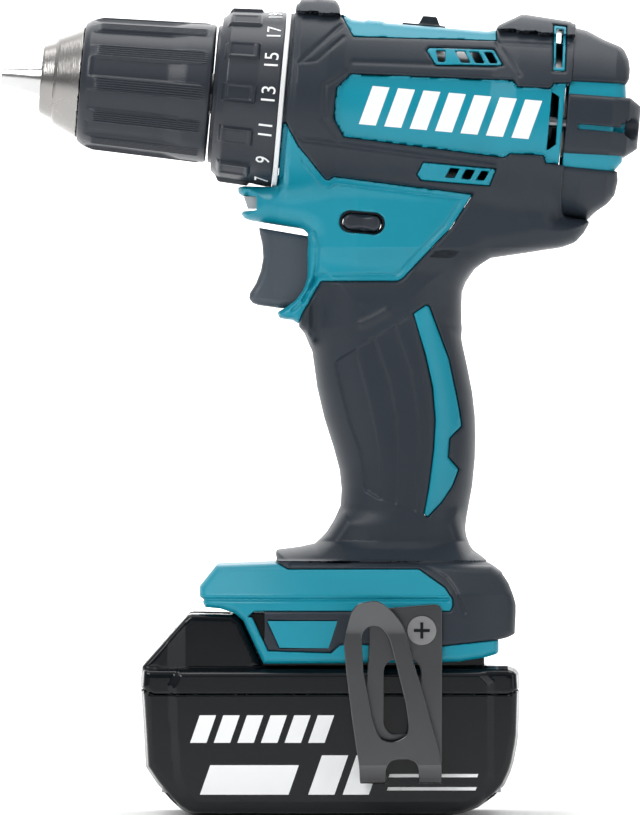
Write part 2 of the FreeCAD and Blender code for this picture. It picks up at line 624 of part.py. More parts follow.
def write_controls():
    front = ((-22.2, 180.1), (-22.0, 178.6), ((-20.9, 171.0), (-25.0, 160.2)), (-25.0, 158.5),
             (-22.4, 156.5), (-15.9, 155.6), (2.6, 155.6), (2.6, 176.8), (-6.4, 177.6))
    trigger = plate(front, -TRIGGER_HALF, TRIGGER_HALF)
    stem = rod_x(2.4, 11.0, 2.6, 0, 168.0)
    save("trigger", join([trigger, stem]))
    coil = spring(4.4, 0.5, 2.0, 5.0)
    coil.rotate(V(0, 0, 0), V(0, 1, 0), 90)
    coil.translate(V(3.4, 0, 168.0))
    save("trigger_spring", coil)

    x, z = BUTTON
    pill = [rod_y(-19.0, 19.0, 2.4, x - 3.4, z), rod_y(-19.0, 19.0, 2.4, x + 3.4, z),
            box(x - 3.4, x + 3.4, -19.0, 19.0, z - 2.4, z + 2.4)]
    save("direction_button", join(pill))

    base = box(20.6, 32.0, -8.8, 8.8, 24.2, 26.2)
    knob = box(27.0, 31.6, -6.5, 6.5, 26.0, 29.8)
    yoke = box(24.0, 27.0, -3.0, 3.0, 23.5, 24.4)
    save("speed_selector", on_axis(join([base, knob, yoke])))


REAR_OUTLINE = (
    (60.0, 250.0), (78.6, 241.1), (83.7, 238.0), (88.8, 235.8), ((91.6, 228.6), (90.3, 223.8)),
    (90.3, 219.8), (94.9, 217.2), (93.7, 204.2), (89.6, 201.7), (88.0, 197.3),
    ((86.0, 189.0), (78.4, 182.0)), (60.0, 184.0),
)


def write_rear_cover():
    side = plate(REAR_OUTLINE, -40, 40)
    outer = on_axis(turned([(SEAM_U, 0), (SEAM_U, COLLAR_R), (78.0, 31.2), (88.0, 28.6),
                            (96.0, 21.0), (96.0, 0)])).common(side)
    inner = on_axis(turned([(SEAM_U, 0), (SEAM_U, COLLAR_R - SKIN), (78.0, 29.4), (86.0, 26.8),
                            (92.0, 20.0), (92.0, 0)])).common(side)
    bands = [on_axis(box(60, 100, -40, 40, z0, z1)) for z0, z1 in
             ((10.3, 13.2), (-1.2, 0.3), (-11.4, -8.3))]
    bumper = outer.cut(inner).cut(Part.makeCompound(bands))
    cover = outer.cut(bumper)
    hollow = turned([(SEAM_U - 1, 0), (SEAM_U - 1, 25.6), (82.0, 25.6), (86.0, 18.0), (86.0, 0)])
    pillars = [rod_x(SEAM_U, 84.0, 4.0, y, 0) for y in (REAR_SCREW_Y, -REAR_SCREW_Y)]
    hollow = hollow.cut(Part.makeCompound(pillars))
    cover = cover.cut(on_axis(hollow))
    wells = []
    for y in (REAR_SCREW_Y, -REAR_SCREW_Y):
        wells.append(join([rod_x(70.0, 84.1, 1.6, y, 0), rod_x(82.0, 99.0, 3.2, y, 0)]))
    well = on_axis(Part.makeCompound(wells))
    save("rear_cover", cover.cut(well))
    save("rear_bumper", bumper.cut(well))


# ---------------------------------------------------------------- battery
LOWER_CASE = (
    (-58.4, CASE_SEAM_Z), (-57.0, 16.3), ((-52.6, 8.6), (-44.1, 0.9)), (-41.7, 0.0), (38.6, 0.0),
    ((48.2, 2.9), (54.6, 10.0)), (57.1, 21.7), (58.0, CASE_SEAM_Z),
)
UPPER_CASE = (
    (-58.4, CASE_SEAM_Z), (-58.4, 44.0), (-57.6, 46.2), (-50.0, 54.6), (-34.0, 54.6), (-30.6, 46.4),
    (51.4, 46.4), (57.0, 45.4), (58.0, 41.0), (58.0, CASE_SEAM_Z),
)
NOSE = ((-50.2, 54.2), (-43.7, 61.7), (-29.8, 61.7), (-27.4, 60.0), (-21.1, 46.4), (-44.0, 46.0))
CELL_R = 9.15
CELL_LENGTH = 65.0
CELL_PITCH = 18.5
CELL_ROWS = (12.2, 31.2)
CASE_SCREWS = [(x, y) for x in (-49.4, 49.6) for y in (-30.5, 30.5)]
WELL_TOP = 7.5             # height that the case screws' wells reach


def inset(steps, lift, amount, y_half):
    """The same outline moved in by a wall's thickness, near enough for a smooth case."""
    middle = sum(p[0] if not isinstance(p[0], tuple) else p[1][0] for p in steps) / len(steps)

    def move(point):
        x = point[0] - amount if point[0] > middle else point[0] + amount
        return (x, point[1] + lift)

    moved = [(move(s[0]), move(s[1])) if isinstance(s[0], tuple) else move(s) for s in steps]
    return plate(moved, -y_half, y_half)


def write_battery():
    half = BATTERY_HALF
    inner_half = half - CASE_WALL
    bottom = plate(LOWER_CASE, -half, half)
    hollow = inset(LOWER_CASE, CASE_WALL, CASE_WALL, inner_half)
    wells = []
    screws = []
    posts = []
    for x, y in CASE_SCREWS:
        wells.append(join([rod_z(0, WELL_TOP, 2.6, x, y), rod_z(WELL_TOP - 1, 44, 1.4, x, y)]))
        screws.append(join([rod_z(WELL_TOP, WELL_TOP + 2, 2.4, x, y),
                            rod_z(WELL_TOP + 1, 42.0, 1.4, x, y)]))
        posts.append(join([rod_z(0, WELL_TOP + 1, 3.7, x, y), rod_z(WELL_TOP, 44, 2.8, x, y)]))
    hollow = hollow.cut(Part.makeCompound([post.common(bottom) for post in posts]))
    bottom = bottom.cut(hollow).cut(Part.makeCompound(wells)).cut(Part.makeCompound(screws))
    save("battery_lower_case", bottom)
    save("battery_screws", Part.makeCompound(screws))

    top = join([
        plate(UPPER_CASE, -half, half),
        plate(NOSE, -31.0, 31.0),
        box(-30.0, 46.8, -28.0, 28.0, 45.0, 62.2),
    ])
    grooves = [box(-20.0, 50.0, 24.3, 29.0, 49.7, 53.3), box(-20.0, 50.0, -29.0, -24.3, 49.7, 53.3)]
    inside = [box(-54.0, 54.0, -inner_half, inner_half, CASE_SEAM_Z - 1, 42.6),
              box(-19.0, 28.0, -22.0, 22.0, 42.0, 60.2)]
    slots = [box(27.0, 48.0, y - 1.2, y + 1.2, 54.8, 63.0) for y in BLADE_ROWS]
    latch_way = box(-56.0, -31.4, -13.4, 13.4, 44.6, 64.0)
    posts = [rod_z(CASE_SEAM_Z, 43.5, 2.8, x, y) for x, y in CASE_SCREWS]
    inside[0] = inside[0].cut(Part.makeCompound(posts))
    for cutter in grooves + inside + slots + [latch_way] + screws:
        top = top.cut(cutter)
    save("battery_upper_case", top)

    cells = []
    for z in CELL_ROWS:
        for k in range(5):
            cells.append(rod_y(-CELL_LENGTH / 2, CELL_LENGTH / 2, CELL_R, CELL_PITCH * (k - 2), z))
    straps = []
    for y0 in (-CELL_LENGTH / 2 - 0.3, CELL_LENGTH / 2):
        for k in range(5):
            x = CELL_PITCH * (k - 2)
            straps.append(box(x - 3.5, x + 3.5, y0, y0 + 0.3, CELL_ROWS[0] - 4, CELL_ROWS[1] + 4))
    save("battery_cells", Part.makeCompound(cells + straps))
    board = [box(-40.0, 40.0, -24.0, 24.0, 40.8, 42.4)]
    for y in BLADE_ROWS:
        board.append(box(14.0, 26.8, y - 2.5, y + 2.5, 42.4, 59.5))
    save("battery_board", Part.makeCompound(board))

    button = plate(((-55.4, 48.0), (-43.6, 61.5), (-33.2, 61.5), (-33.2, 52.4), (-46.0, 52.4),
                    (-50.0, 48.0)), -13.0, 13.0)
    save("battery_latch", button)
    coils = []
    for y in (-7.0, 7.0):
        coil = spring(2.4, 0.4, 1.6, 6.4)
        coil.translate(V(-39.0, y, 45.1))
        coils.append(coil)
    save("latch_springs", Part.makeCompound(coils))


# ---------------------------------------------------------------- belt clip
CLIP_T = 1.3               # thickness of the clip's sheet
CLIP_BACK_Y = -FOOT_HALF
CLIP_BEND_R = 5.2          # inside radius of its bend


def write_belt_clip():
    back = plate(((11.5, 63.0), (33.6, 65.2), (33.6, 28.0), (32.8, 16.4), (9.6, 16.4)),
                 CLIP_BACK_Y - CLIP_T, CLIP_BACK_Y)
    back_slot = plate(((15.6, 45.0), ((21.6, 51.0), (27.6, 45.0)), (27.6, 30.0),
                       ((21.6, 24.0), (15.6, 30.0))), -60, -30)
    leaf_y = CLIP_BACK_Y - 2 * CLIP_BEND_R
    leaf = plate(((6.2, 63.0), ((9.5, 66.0), (14.5, 66.5)), (21.1, 59.9), (23.6, 52.0),
                  (28.6, 35.1), (32.8, 16.4), (9.6, 16.4), (6.0, 35.1), (3.9, 55.0)),
                 leaf_y - CLIP_T, leaf_y)
    leaf_slot = plate(((8.7, 56.0), ((13.4, 59.4), (18.0, 55.2)), (22.9, 35.1), (23.9, 27.6),
                       ((18.6, 22.6), (12.3, 30.0))), -60, -30)
    middle_y = (CLIP_BACK_Y + leaf_y - CLIP_T) / 2
    outer_r = (CLIP_BACK_Y - leaf_y + CLIP_T) / 2
    bend = rod_x(9.6, 32.8, outer_r, middle_y, 16.4)
    bend = bend.cut(rod_x(0, 40, outer_r - CLIP_T, middle_y, 16.4))
    bend = bend.cut(box(0, 40, -60, -20, 16.4, 40))
    arch = rod_y(-60, -30, 5.2, 21.8, 13.6).fuse(box(16.6, 27.0, -60, -30, 0, 13.6))
    hole = rod_y(-60, -30, 2.2, *CLIP_SCREW)
    clip = join([back.cut(back_slot), leaf.cut(leaf_slot), bend])
    save("belt_clip", clip.cut(arch).cut(hole))


def clip_screw():
    x, z = CLIP_SCREW
    seat = CLIP_BACK_Y - CLIP_T
    shank = rod_y(seat - 0.2, -CLIP_HOLE_END - 0.2, CLIP_HOLE_R, x, z)
    head = rod_y(seat - 2.2, seat, 4.4, x, z)
    cross = [box(x - 2.6, x + 2.6, seat - 3, seat - 1.2, z - 0.5, z + 0.5),
             box(x - 0.5, x + 0.5, seat - 3, seat - 1.2, z - 2.6, z + 2.6)]
    return join([shank, head]).cut(Part.makeCompound(cross))


os.makedirs("parts", exist_ok=True)
write_gear_train()
write_gear_case()
write_torque_ring()
write_spindle()
write_chuck()
write_motor()
write_housing()
write_fittings()
write_controls()
write_rear_cover()
write_battery()
write_belt_clip()
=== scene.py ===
import functools
import json
import math

import bmesh
import bpy
import numpy as np
from mathutils import Matrix, Vector


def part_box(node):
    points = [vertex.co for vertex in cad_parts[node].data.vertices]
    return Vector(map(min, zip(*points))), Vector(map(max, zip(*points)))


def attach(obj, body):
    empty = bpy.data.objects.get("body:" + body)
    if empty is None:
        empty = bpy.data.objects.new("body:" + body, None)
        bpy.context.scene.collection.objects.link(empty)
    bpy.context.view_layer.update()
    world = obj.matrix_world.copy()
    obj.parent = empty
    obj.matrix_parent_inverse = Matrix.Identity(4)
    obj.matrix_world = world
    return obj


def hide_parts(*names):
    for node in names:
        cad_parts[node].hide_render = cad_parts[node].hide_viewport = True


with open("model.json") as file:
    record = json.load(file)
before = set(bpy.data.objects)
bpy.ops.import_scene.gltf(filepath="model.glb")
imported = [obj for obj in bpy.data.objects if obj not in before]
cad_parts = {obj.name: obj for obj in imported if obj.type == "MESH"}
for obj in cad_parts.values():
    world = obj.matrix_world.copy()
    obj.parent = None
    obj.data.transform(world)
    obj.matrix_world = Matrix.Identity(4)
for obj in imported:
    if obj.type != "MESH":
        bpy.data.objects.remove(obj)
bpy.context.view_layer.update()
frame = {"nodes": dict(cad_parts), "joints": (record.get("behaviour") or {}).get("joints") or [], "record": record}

# Looks of the cordless drill, in millimetres until a mesh is made.
# Axes as in the frame: +X to the rear, -Y the visible left side, +Z up.
# Barrel pieces use U (rearwards along the barrel), Y, and W (up, square to the barrel).
MM = 0.001
SPIN = next(j for j in frame["joints"] if j["name"] == "spindle_spin")
AXIS_Z = SPIN["pos_m"][2] / MM
COS = SPIN["axis"][0]
SIN = -SPIN["axis"][2]
SIDES = ((-1, "left"), (1, "right"))
SEAM = 0.05              # half of the gap where the two housing halves meet
SHELL = 2.4              # thickness of the moulded shells
LIFT = 0.8               # how far the soft overmould stands over the hard housing
FINE = 0.45
GRIP_STEP = 0.55
MEDIUM = 0.6
COARSE = 0.75


# ------------------------------------------------------------------ distance fields
def barrel_axes(x, z):
    return x * COS - (z - AXIS_Z) * SIN, x * SIN + (z - AXIS_Z) * COS


def world_xz(u, w):
    return u * COS + w * SIN, AXIS_Z - u * SIN + w * COS


def smin(a, b, k):
    h = np.clip(0.5 + 0.5 * (b - a) / k, 0.0, 1.0)
    return b + (a - b) * h - k * h * (1.0 - h)


def smax(a, b, k):
    return -smin(-a, -b, k)


def segment(x, z, a, b):
    """Distance in the side plane to the straight stretch from a to b."""
    ex, ez = b[0] - a[0], b[1] - a[1]
    t = np.clip(((x - a[0]) * ex + (z - a[1]) * ez) / (ex * ex + ez * ez), 0.0, 1.0)
    return np.hypot(x - a[0] - t * ex, z - a[1] - t * ez)


def polyline(x, z, points):
    d = segment(x, z, points[0], points[1])
    for a, b in zip(points[1:], points[2:]):
        d = np.minimum(d, segment(x, z, a, b))
    return d


def polygon(x, z, points):
    """Signed distance in the side plane to a closed outline, negative inside."""
    d = None
    inside = np.zeros(np.broadcast(x, z).shape, bool)
    for a, b in zip(points, points[1:] + points[:1]):
        s = segment(x, z, a, b)
        d = s if d is None else np.minimum(d, s)
        crosses = (z >= min(a[1], b[1])) & (z < max(a[1], b[1]))
        if b[1] != a[1]:
            inside ^= crosses & (x < a[0] + (z - a[1]) * (b[0] - a[0]) / (b[1] - a[1]))
    return np.where(inside, -d, d)


def nearest(x, z, outlines):
    """Signed distance to the nearest of several closed outlines."""
    d = polygon(x, z, outlines[0])
    for points in outlines[1:]:
        d = np.minimum(d, polygon(x, z, points))
    return d


def pillow(profile, y, half, round_side, round_y):
    """An outline carried across the tool to |y| = half, with elliptical edges."""
    a = np.maximum(profile + round_side, 0.0) / round_side
    b = np.maximum(np.abs(y) - half + round_y, 0.0) / round_y
    return (np.sqrt(a * a + b * b) - 1.0) * np.minimum(round_side, round_y)


def most(*fields):
    """The largest of the fields at each point: where their solids overlap."""
    return functools.reduce(np.maximum, fields)


def least(*fields):
    """The smallest of the fields at each point: their solids put together."""
    return functools.reduce(np.minimum, fields)


def block(x, y, z, low, high):
    return most(low[0] - x, x - high[0], low[1] - y, y - high[1], low[2] - z, z - high[2])


def rod_y(x, z, centre, radius):
    return np.hypot(x - centre[0], z - centre[1]) - radius


# ------------------------------------------------------------------ meshing a field
EDGES = [(a, b) for a in range(8) for b in range(a + 1, 8) if bin(a ^ b).count("1") == 1]


def surface_nets(field, low, high, step):
    """Vertices and quads of the surface where the field is zero."""
    axes = [np.arange(l - step, h + 2 * step, step) for l, h in zip(low, high)]
    shape = tuple(len(a) for a in axes)
    values = field(axes[0][:, None, None], axes[1][None, :, None], axes[2][None, None, :])
    values = np.array(np.broadcast_to(values, shape), np.float32)
    inside = values < 0
    count = np.zeros(tuple(n - 1 for n in shape), np.uint8)
    corners = [((k >> 2) & 1, (k >> 1) & 1, k & 1) for k in range(8)]
    for i, j, k in corners:
        count += inside[i:shape[0] - 1 + i, j:shape[1] - 1 + j, k:shape[2] - 1 + k]
    cells = np.argwhere((count > 0) & (count < 8))
    corner_values = np.stack([values[tuple((cells + c).T)] for c in corners], 1)
    total = np.zeros((len(cells), 3))
    hits = np.zeros(len(cells))
    for a, b in EDGES:
        va, vb = corner_values[:, a], corner_values[:, b]
        cross = (va < 0) != (vb < 0)
        t = np.where(cross, va / np.where(cross, va - vb, 1.0), 0.0)
        point = np.array(corners[a]) + t[:, None] * (np.array(corners[b]) - corners[a])
        total += point * cross[:, None]
        hits += cross
    vertices = (cells + total / hits[:, None]) * step + [a[0] for a in axes]
    number = np.full(count.shape, -1, np.int64)
    number[tuple(cells.T)] = np.arange(len(cells))
    quads = []
    for axis in range(3):
        ahead = [slice(None)] * 3
        behind = [slice(None)] * 3
        ahead[axis] = slice(1, None)
        behind[axis] = slice(0, -1)
        change = inside[tuple(behind)] != inside[tuple(ahead)]
        at = np.argwhere(change)
        side = [s for s in range(3) if s != axis]
        keep = np.all([(at[:, s] > 0) & (at[:, s] < shape[s] - 1) for s in side], 0)
        at = at[keep]
        outward = inside[tuple(behind)][tuple(at.T)]
        ring = []
        for da, db in ((0, 0), (1, 0), (1, 1), (0, 1)):
            cell = at.copy()
            cell[:, side[0]] -= da
            cell[:, side[1]] -= db
            ring.append(number[tuple(cell.T)])
        ring = np.stack(ring, 1)
        flip = outward if axis == 1 else ~outward
        ring[flip] = ring[flip][:, ::-1]
        quads.append(ring)
    return vertices, np.concatenate(quads)


def gradient(field, p, h=0.05):
    g = np.empty_like(p)
    for i in range(3):
        step = np.zeros(3)
        step[i] = h
        g[:, i] = field(*(p + step).T) - field(*(p - step).T)
    return g / (2 * h)


def carve(name, field, low, high, step):
    """A closed mesh object of a field, with its points and normals set from the field."""
    vertices, quads = surface_nets(field, low, high, step)
    for _ in range(2):
        g = gradient(field, vertices)
        size = np.maximum((g * g).sum(1), 0.2)
        move = np.clip(field(*vertices.T) / size, -0.4 * step, 0.4 * step)
        vertices = vertices - g * move[:, None]
    return add_mesh(name, vertices, quads, gradient(field, vertices, 0.15))


def add_mesh(name, vertices, quads, normals=None):
    mesh = bpy.data.meshes.new(name)
    mesh.vertices.add(len(vertices))
    mesh.vertices.foreach_set("co", (np.asarray(vertices) * MM).astype(np.float32).ravel())
    sizes = quads.shape[1]
    mesh.loops.add(quads.size)
    mesh.loops.foreach_set("vertex_index", quads.ravel().astype(np.int32))
    mesh.polygons.add(len(quads))
    mesh.polygons.foreach_set("loop_start", np.arange(0, quads.size, sizes, dtype=np.int32))
    mesh.polygons.foreach_set("loop_total", np.full(len(quads), sizes, np.int32))
    mesh.polygons.foreach_set("use_smooth", np.ones(len(quads), bool))
    mesh.update(calc_edges=True)
    mesh.validate()
    if normals is not None:
        length = np.maximum(np.linalg.norm(normals, axis=1), 1e-9)
        mesh.normals_split_custom_set_from_vertices((normals / length[:, None]).tolist())
    return place_object(name, mesh)


def place_object(name, data):
    obj = bpy.data.objects.new(name, data)
    bpy.context.scene.collection.objects.link(obj)
    return obj


def place_edited(name, made):
    """An object from a mesh under edit, which is freed."""
    mesh = bpy.data.meshes.new(name)
    made.to_mesh(mesh)
    made.free()
    return place_object(name, mesh)


def curve_mesh(name, curve):
    holder = place_object(name, curve)
    bpy.context.view_layer.update()
    mesh = bpy.data.meshes.new_from_object(holder.evaluated_get(bpy.context.evaluated_depsgraph_get()))
    bpy.data.objects.remove(holder)
    return mesh


def carve_piece(name, field, low, high, step, material, body, slot, *nodes):
    return finish_piece(carve(name, field, low, high, step), material, body, slot, *nodes)


def finish_piece(obj, material, body, slot, *nodes):
    obj.data.materials.clear()
    obj.data.materials.append(material)
    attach(obj, body)
    if nodes:
        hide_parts(*nodes)
    return obj


def turned_grid(name, rows, angles, radius):
    """A closed ring of revolution: rows is the outline's (u, r, pattern) and radius adds the pattern."""
    points = []
    for u, r, pattern in rows:
        rr = radius(u, r, pattern, angles)
        x, z = world_xz(u, rr * np.cos(angles))
        points.append(np.stack([x, -rr * np.sin(angles), z], 1))
    n = len(angles)
    vertices = np.concatenate(points)
    count = len(rows)
    i = np.arange(count)[:, None]
    j = np.arange(n)[None, :]
    a = i * n + j
    b = i * n + (j + 1) % n
    c = ((i + 1) % count) * n + (j + 1) % n
    d = ((i + 1) % count) * n + j
    quads = np.stack([a, d, c, b], 2).reshape(-1, 4)
    return add_mesh(name, vertices, quads)


def arc_points(points, radius, steps=5):
    """A closed outline with each corner rounded by up to the radius."""
    out = []
    n = len(points)
    for k in range(n):
        p = Vector(points[k])
        a = Vector(points[k - 1]) - p
        b = Vector(points[(k + 1) % n]) - p
        cut = min(radius, 0.45 * a.length, 0.45 * b.length)
        if a.angle(b) > math.radians(172):
            out.append(tuple(p))
            continue
        start, end = p + a.normalized() * cut, p + b.normalized() * cut
        for s in range(steps + 1):
            t = s / steps
            out.append(tuple(start * (1 - t) ** 2 + p * 2 * t * (1 - t) + end * t ** 2))
    return out


def sharpen(obj, degrees=35):
    obj.data.set_sharp_from_angle(angle=math.radians(degrees))
    return obj


# ------------------------------------------------------------------ materials
def node(tree, kind, **values):
    made = tree.nodes.new(kind)
    for key, value in values.items():
        if key in made.inputs:
            made.inputs[key].default_value = value
        else:
            setattr(made, key, value)
    return made


def map_range(tree, from_min=0.0, from_max=1.0, to_min=0.0, to_max=1.0):
    made = node(tree, "ShaderNodeMapRange")
    for key, value in (("From Min", from_min), ("From Max", from_max), ("To Min", to_min),
                       ("To Max", to_max)):
        made.inputs[key].default_value = value
    return made


def moulded(name, colour, roughness=0.4, spread=0.06, grain=2600.0, bump=0.12, wear=0.25,
            metallic=0.0, coat=0.0, brushed=None, specular=0.5):
    """A surface with slight colour and roughness changes, a moulded or ground grain and worn edges."""
    material = bpy.data.materials.new(name)
    material.use_nodes = True
    tree = material.node_tree
    link = tree.links.new
    shader = tree.nodes["Principled BSDF"]
    shader.inputs["Metallic"].default_value = metallic
    shader.inputs["Coat Weight"].default_value = coat
    shader.inputs["Coat Roughness"].default_value = 0.06
    shader.inputs["Specular IOR Level"].default_value = specular
    place = node(tree, "ShaderNodeTexCoord")
    cloud = node(tree, "ShaderNodeTexNoise", Scale=38.0, Detail=5.0)
    link(place.outputs["Object"], cloud.inputs["Vector"])
    shades = node(tree, "ShaderNodeValToRGB")
    shades.color_ramp.elements[0].position = 0.3
    shades.color_ramp.elements[1].position = 0.7
    shades.color_ramp.elements[0].color = [c * (1 - spread) for c in colour] + [1.0]
    shades.color_ramp.elements[1].color = [min(c * (1 + spread), 1.0) for c in colour] + [1.0]
    link(cloud.outputs["Fac"], shades.inputs["Fac"])
    edge = node(tree, "ShaderNodeNewGeometry")
    band = map_range(tree, 0.53, 0.62, to_max=wear)
    link(edge.outputs["Pointiness"], band.inputs["Value"])
    worn = node(tree, "ShaderNodeMix", data_type="RGBA")
    worn.inputs["B"].default_value = [min(c * 1.25 + 0.05, 1.0) for c in colour] + [1.0]
    link(band.outputs["Result"], worn.inputs["Factor"])
    link(shades.outputs["Color"], worn.inputs["A"])
    link(worn.outputs["Result"], shader.inputs["Base Color"])
    fine = node(tree, "ShaderNodeTexNoise", Scale=grain, Detail=2.0)
    if brushed:
        stretch = node(tree, "ShaderNodeMapping")
        stretch.inputs["Scale"].default_value = brushed
        link(place.outputs["Object"], stretch.inputs["Vector"])
        link(stretch.outputs["Vector"], fine.inputs["Vector"])
    else:
        link(place.outputs["Object"], fine.inputs["Vector"])
    rough = map_range(tree, to_min=roughness * 0.85, to_max=roughness * 1.15)
    link(cloud.outputs["Fac"], rough.inputs["Value"])
    link(rough.outputs["Result"], shader.inputs["Roughness"])
    height = node(tree, "ShaderNodeBump", Strength=bump, Distance=0.0002)
    link(fine.outputs["Fac"], height.inputs["Height"])
    link(height.outputs["Normal"], shader.inputs["Normal"])
    return material


TEAL = moulded("teal_plastic", (0.0, 0.235, 0.325), roughness=0.36, bump=0.10, wear=0.1,
              specular=0.4)
RUBBER = moulded("soft_overmould", (0.019, 0.026, 0.036), roughness=0.44, grain=1900.0,
                bump=0.22, wear=0.08, specular=0.3)
BLACK = moulded("satin_black_plastic", (0.020, 0.025, 0.034), roughness=0.34, bump=0.15, wear=0.08,
               specular=0.4)
TRIGGER_GREY = moulded("dark_grey_plastic", (0.055, 0.068, 0.085), roughness=0.38, bump=0.15, wear=0.08,
                       specular=0.4)
GLOSS = moulded("glossy_black_plastic", (0.0035, 0.005, 0.0068), roughness=0.16, bump=0.03, coat=0.2,
                wear=0.02, specular=0.22)
WHITE = moulded("white_print", (0.83, 0.85, 0.86), roughness=0.4, spread=0.02, bump=0.05)
NOSE = moulded("turned_metal", (0.34, 0.33, 0.32), roughness=0.27, metallic=1.0, bump=0.25,
               grain=60.0, brushed=(60.0, 6.0, 6.0))
JAW = moulded("ground_steel", (0.62, 0.62, 0.62), roughness=0.22, metallic=1.0, bump=0.2,
              grain=900.0, brushed=(0.2, 1.0, 1.0))
CLIP = moulded("polished_steel", (0.105, 0.107, 0.112), roughness=0.2, metallic=1.0, bump=0.05,
               grain=500.0, brushed=(1.0, 1.0, 0.15))
SCREW = moulded("zinc_plate", (0.30, 0.30, 0.31), roughness=0.3, metallic=1.0, bump=0.2)
STEEL = moulded("sintered_steel", (0.36, 0.36, 0.37), roughness=0.35, metallic=1.0, bump=0.2)
CAN = moulded("motor_can_steel", (0.2, 0.2, 0.205), roughness=0.3, metallic=1.0, bump=0.1)
COPPER = moulded("enamelled_copper", (0.55, 0.20, 0.08), roughness=0.3, metallic=1.0, bump=0.3,
                 grain=900.0)
FERRITE = moulded("ferrite", (0.03, 0.03, 0.033), roughness=0.6, bump=0.3)
CAST = moulded("die_cast", (0.12, 0.122, 0.125), roughness=0.45, metallic=1.0, bump=0.3)
BOARD = moulded("circuit_board", (0.02, 0.12, 0.05), roughness=0.35, bump=0.1)
CELL = moulded("cell_wrap", (0.12, 0.30, 0.22), roughness=0.35, bump=0.05)
CABLE = moulded("cable_sleeve", (0.35, 0.015, 0.015), roughness=0.45, bump=0.1)


def lens_material():
    material = moulded("clear_lens", (0.42, 0.45, 0.47), roughness=0.08, spread=0.02, bump=0.02)
    shader = material.node_tree.nodes["Principled BSDF"]
    shader.inputs["Transmission Weight"].default_value = 0.1
    shader.inputs["IOR"].default_value = 1.49
    return material


LENS = lens_material()
CAD_LOOKS = {
    "housing": TEAL, "elastomer": RUBBER, "black_plastic": BLACK, "battery_plastic": GLOSS,
    "white_plastic": WHITE, "jaw_steel": JAW, "nose_metal": NOSE, "gear_steel": STEEL,
    "clip_steel": CLIP, "zinc_screw": SCREW, "motor_steel": CAN, "ferrite": FERRITE,
    "copper": COPPER, "gear_case_metal": CAST, "lens": LENS, "cell": CELL, "board": BOARD,
    "cable": CABLE,
}
for part in frame["record"]["subparts"]:
    cad = frame["nodes"][part["node"]]
    cad.data.materials.clear()
    cad.data.materials.append(CAD_LOOKS[part["material_slot"]])


# ------------------------------------------------------------------ housing shape
# Height of the top of the barrel over its axis, along U
TOP_U = (-12.6, -11.9, -8.5, -6.9, -1.4, 0.0, 0.6, 2.2, 4.2, 8.3, 8.6, 13.6, 14.0, 46.0, 48.0,
         55.8, 57.5, 65.0, 71.0, 71.8)
TOP_W = (28.8, 30.3, 30.8, 31.5, 31.0, 29.4, 27.4, 27.2, 26.2, 26.1, 26.6, 26.6, 26.1, 26.3, 26.9,
         31.8, 32.0, 31.4, 30.9, 30.3)
SIDE_U = (-12.6, -11.0, -2.0, 3.0, 48.0, 56.0, 72.0)
SIDE_R = (30.2, 31.0, 31.0, 30.0, 30.0, 31.2, 30.9)

NECK = [
    (-5, 160), (-6.4, 171), (-6.4, 177.1), (-7.3, 178.8), (-9.5, 180.1), (-14.6, 180.9),
    (-25, 182.6), (-26.8, 183.3), (-27.6, 184.6), (-27.2, 185.5), (-26, 186), (-26, 189.9),
    (-27.2, 190.1), (-28.5, 190.9), (-28.7, 192.6), (-27.6, 194.3), (-16.4, 194.1),
    (-14.5, 206), (66, 206), (70, 183), (78.4, 181.7), (76.9, 179), (74.6, 176.5),
    (71, 175.2), (49, 171.9), (43.4, 168.3), (39.6, 164.5), (38.3, 161), (38, 150), (0, 150),
]
NECK_X = (-28, -16, -6, 8, 40, 60, 78)
NECK_HALF = (7.5, 10.5, 15.5, 18.0, 20.0, 21.0, 20.0)

HANDLE = [
    (-6.0, 172), (-6.8, 160), (-6.4, 149), (-5.0, 142.3), (-3.5, 131.3), (-1.3, 121.9),
    (1.5, 113.1), (3.4, 106), (4.0, 100), (3.7, 94.4), (2.3, 90), (-0.2, 85.7), (-3.5, 80),
    (-3.5, 70), (46, 70), (45, 77.5), (42.5, 80.2), (41, 81.8), (40.2, 85), (40.1, 87.3),
    (41, 91.7), (42.7, 101), (43.5, 109.3), (43.7, 115.9), (43.5, 122.5), (42.7, 129.6),
    (41.3, 136.8), (39.4, 145.6), (38.3, 150.5), (38, 156), (38.3, 161), (39.6, 164.5), (42, 172),
]
FLANGE = [
    (-16.3, 80.4), (-9.5, 81.3), (-4.6, 82.4), (-0.2, 85.7), (4, 92), (38, 92), (40.2, 85),
    (42.5, 80.2), (44.9, 78.9), (50, 75.8), (51.8, 74.4), (48, 70), (-10, 70), (-13.2, 75.4),
    (-15.7, 77.6),
]
GUARD = [
    (-1, 177), (-6.4, 177.1), (-6.4, 171), (-7.1, 165), (-8.6, 161.1), (-10.8, 158.1),
    (-13.8, 155.9), (-16.6, 154.2), (-15.9, 152.6), (-13.8, 152.1), (-12, 152), (-9.5, 150.4),
    (-7.3, 148.6), (-5.4, 145.6), (-1, 146),
]
FOOT = [
    (-15.9, 77.5), (-35.1, 76.8), (-40.2, 70.4), (-40.2, 67.3), (-38.4, 64), (-33.8, 63.6),
    (-29.3, 62.1), (-26.8, 59.9), (-20.6, 46.8), (33.6, 47.3), (39, 47.5), (46.9, 48.7),
    (50.4, 49.7), (51.2, 50.4), (51.2, 54), (53.5, 54.9), (55.8, 56.1), (56.1, 62.2),
    (56.1, 64.9), (55.3, 67.7), (53.9, 71.3), (51.8, 74.4), (49, 76.2), (20, 77.3),
]

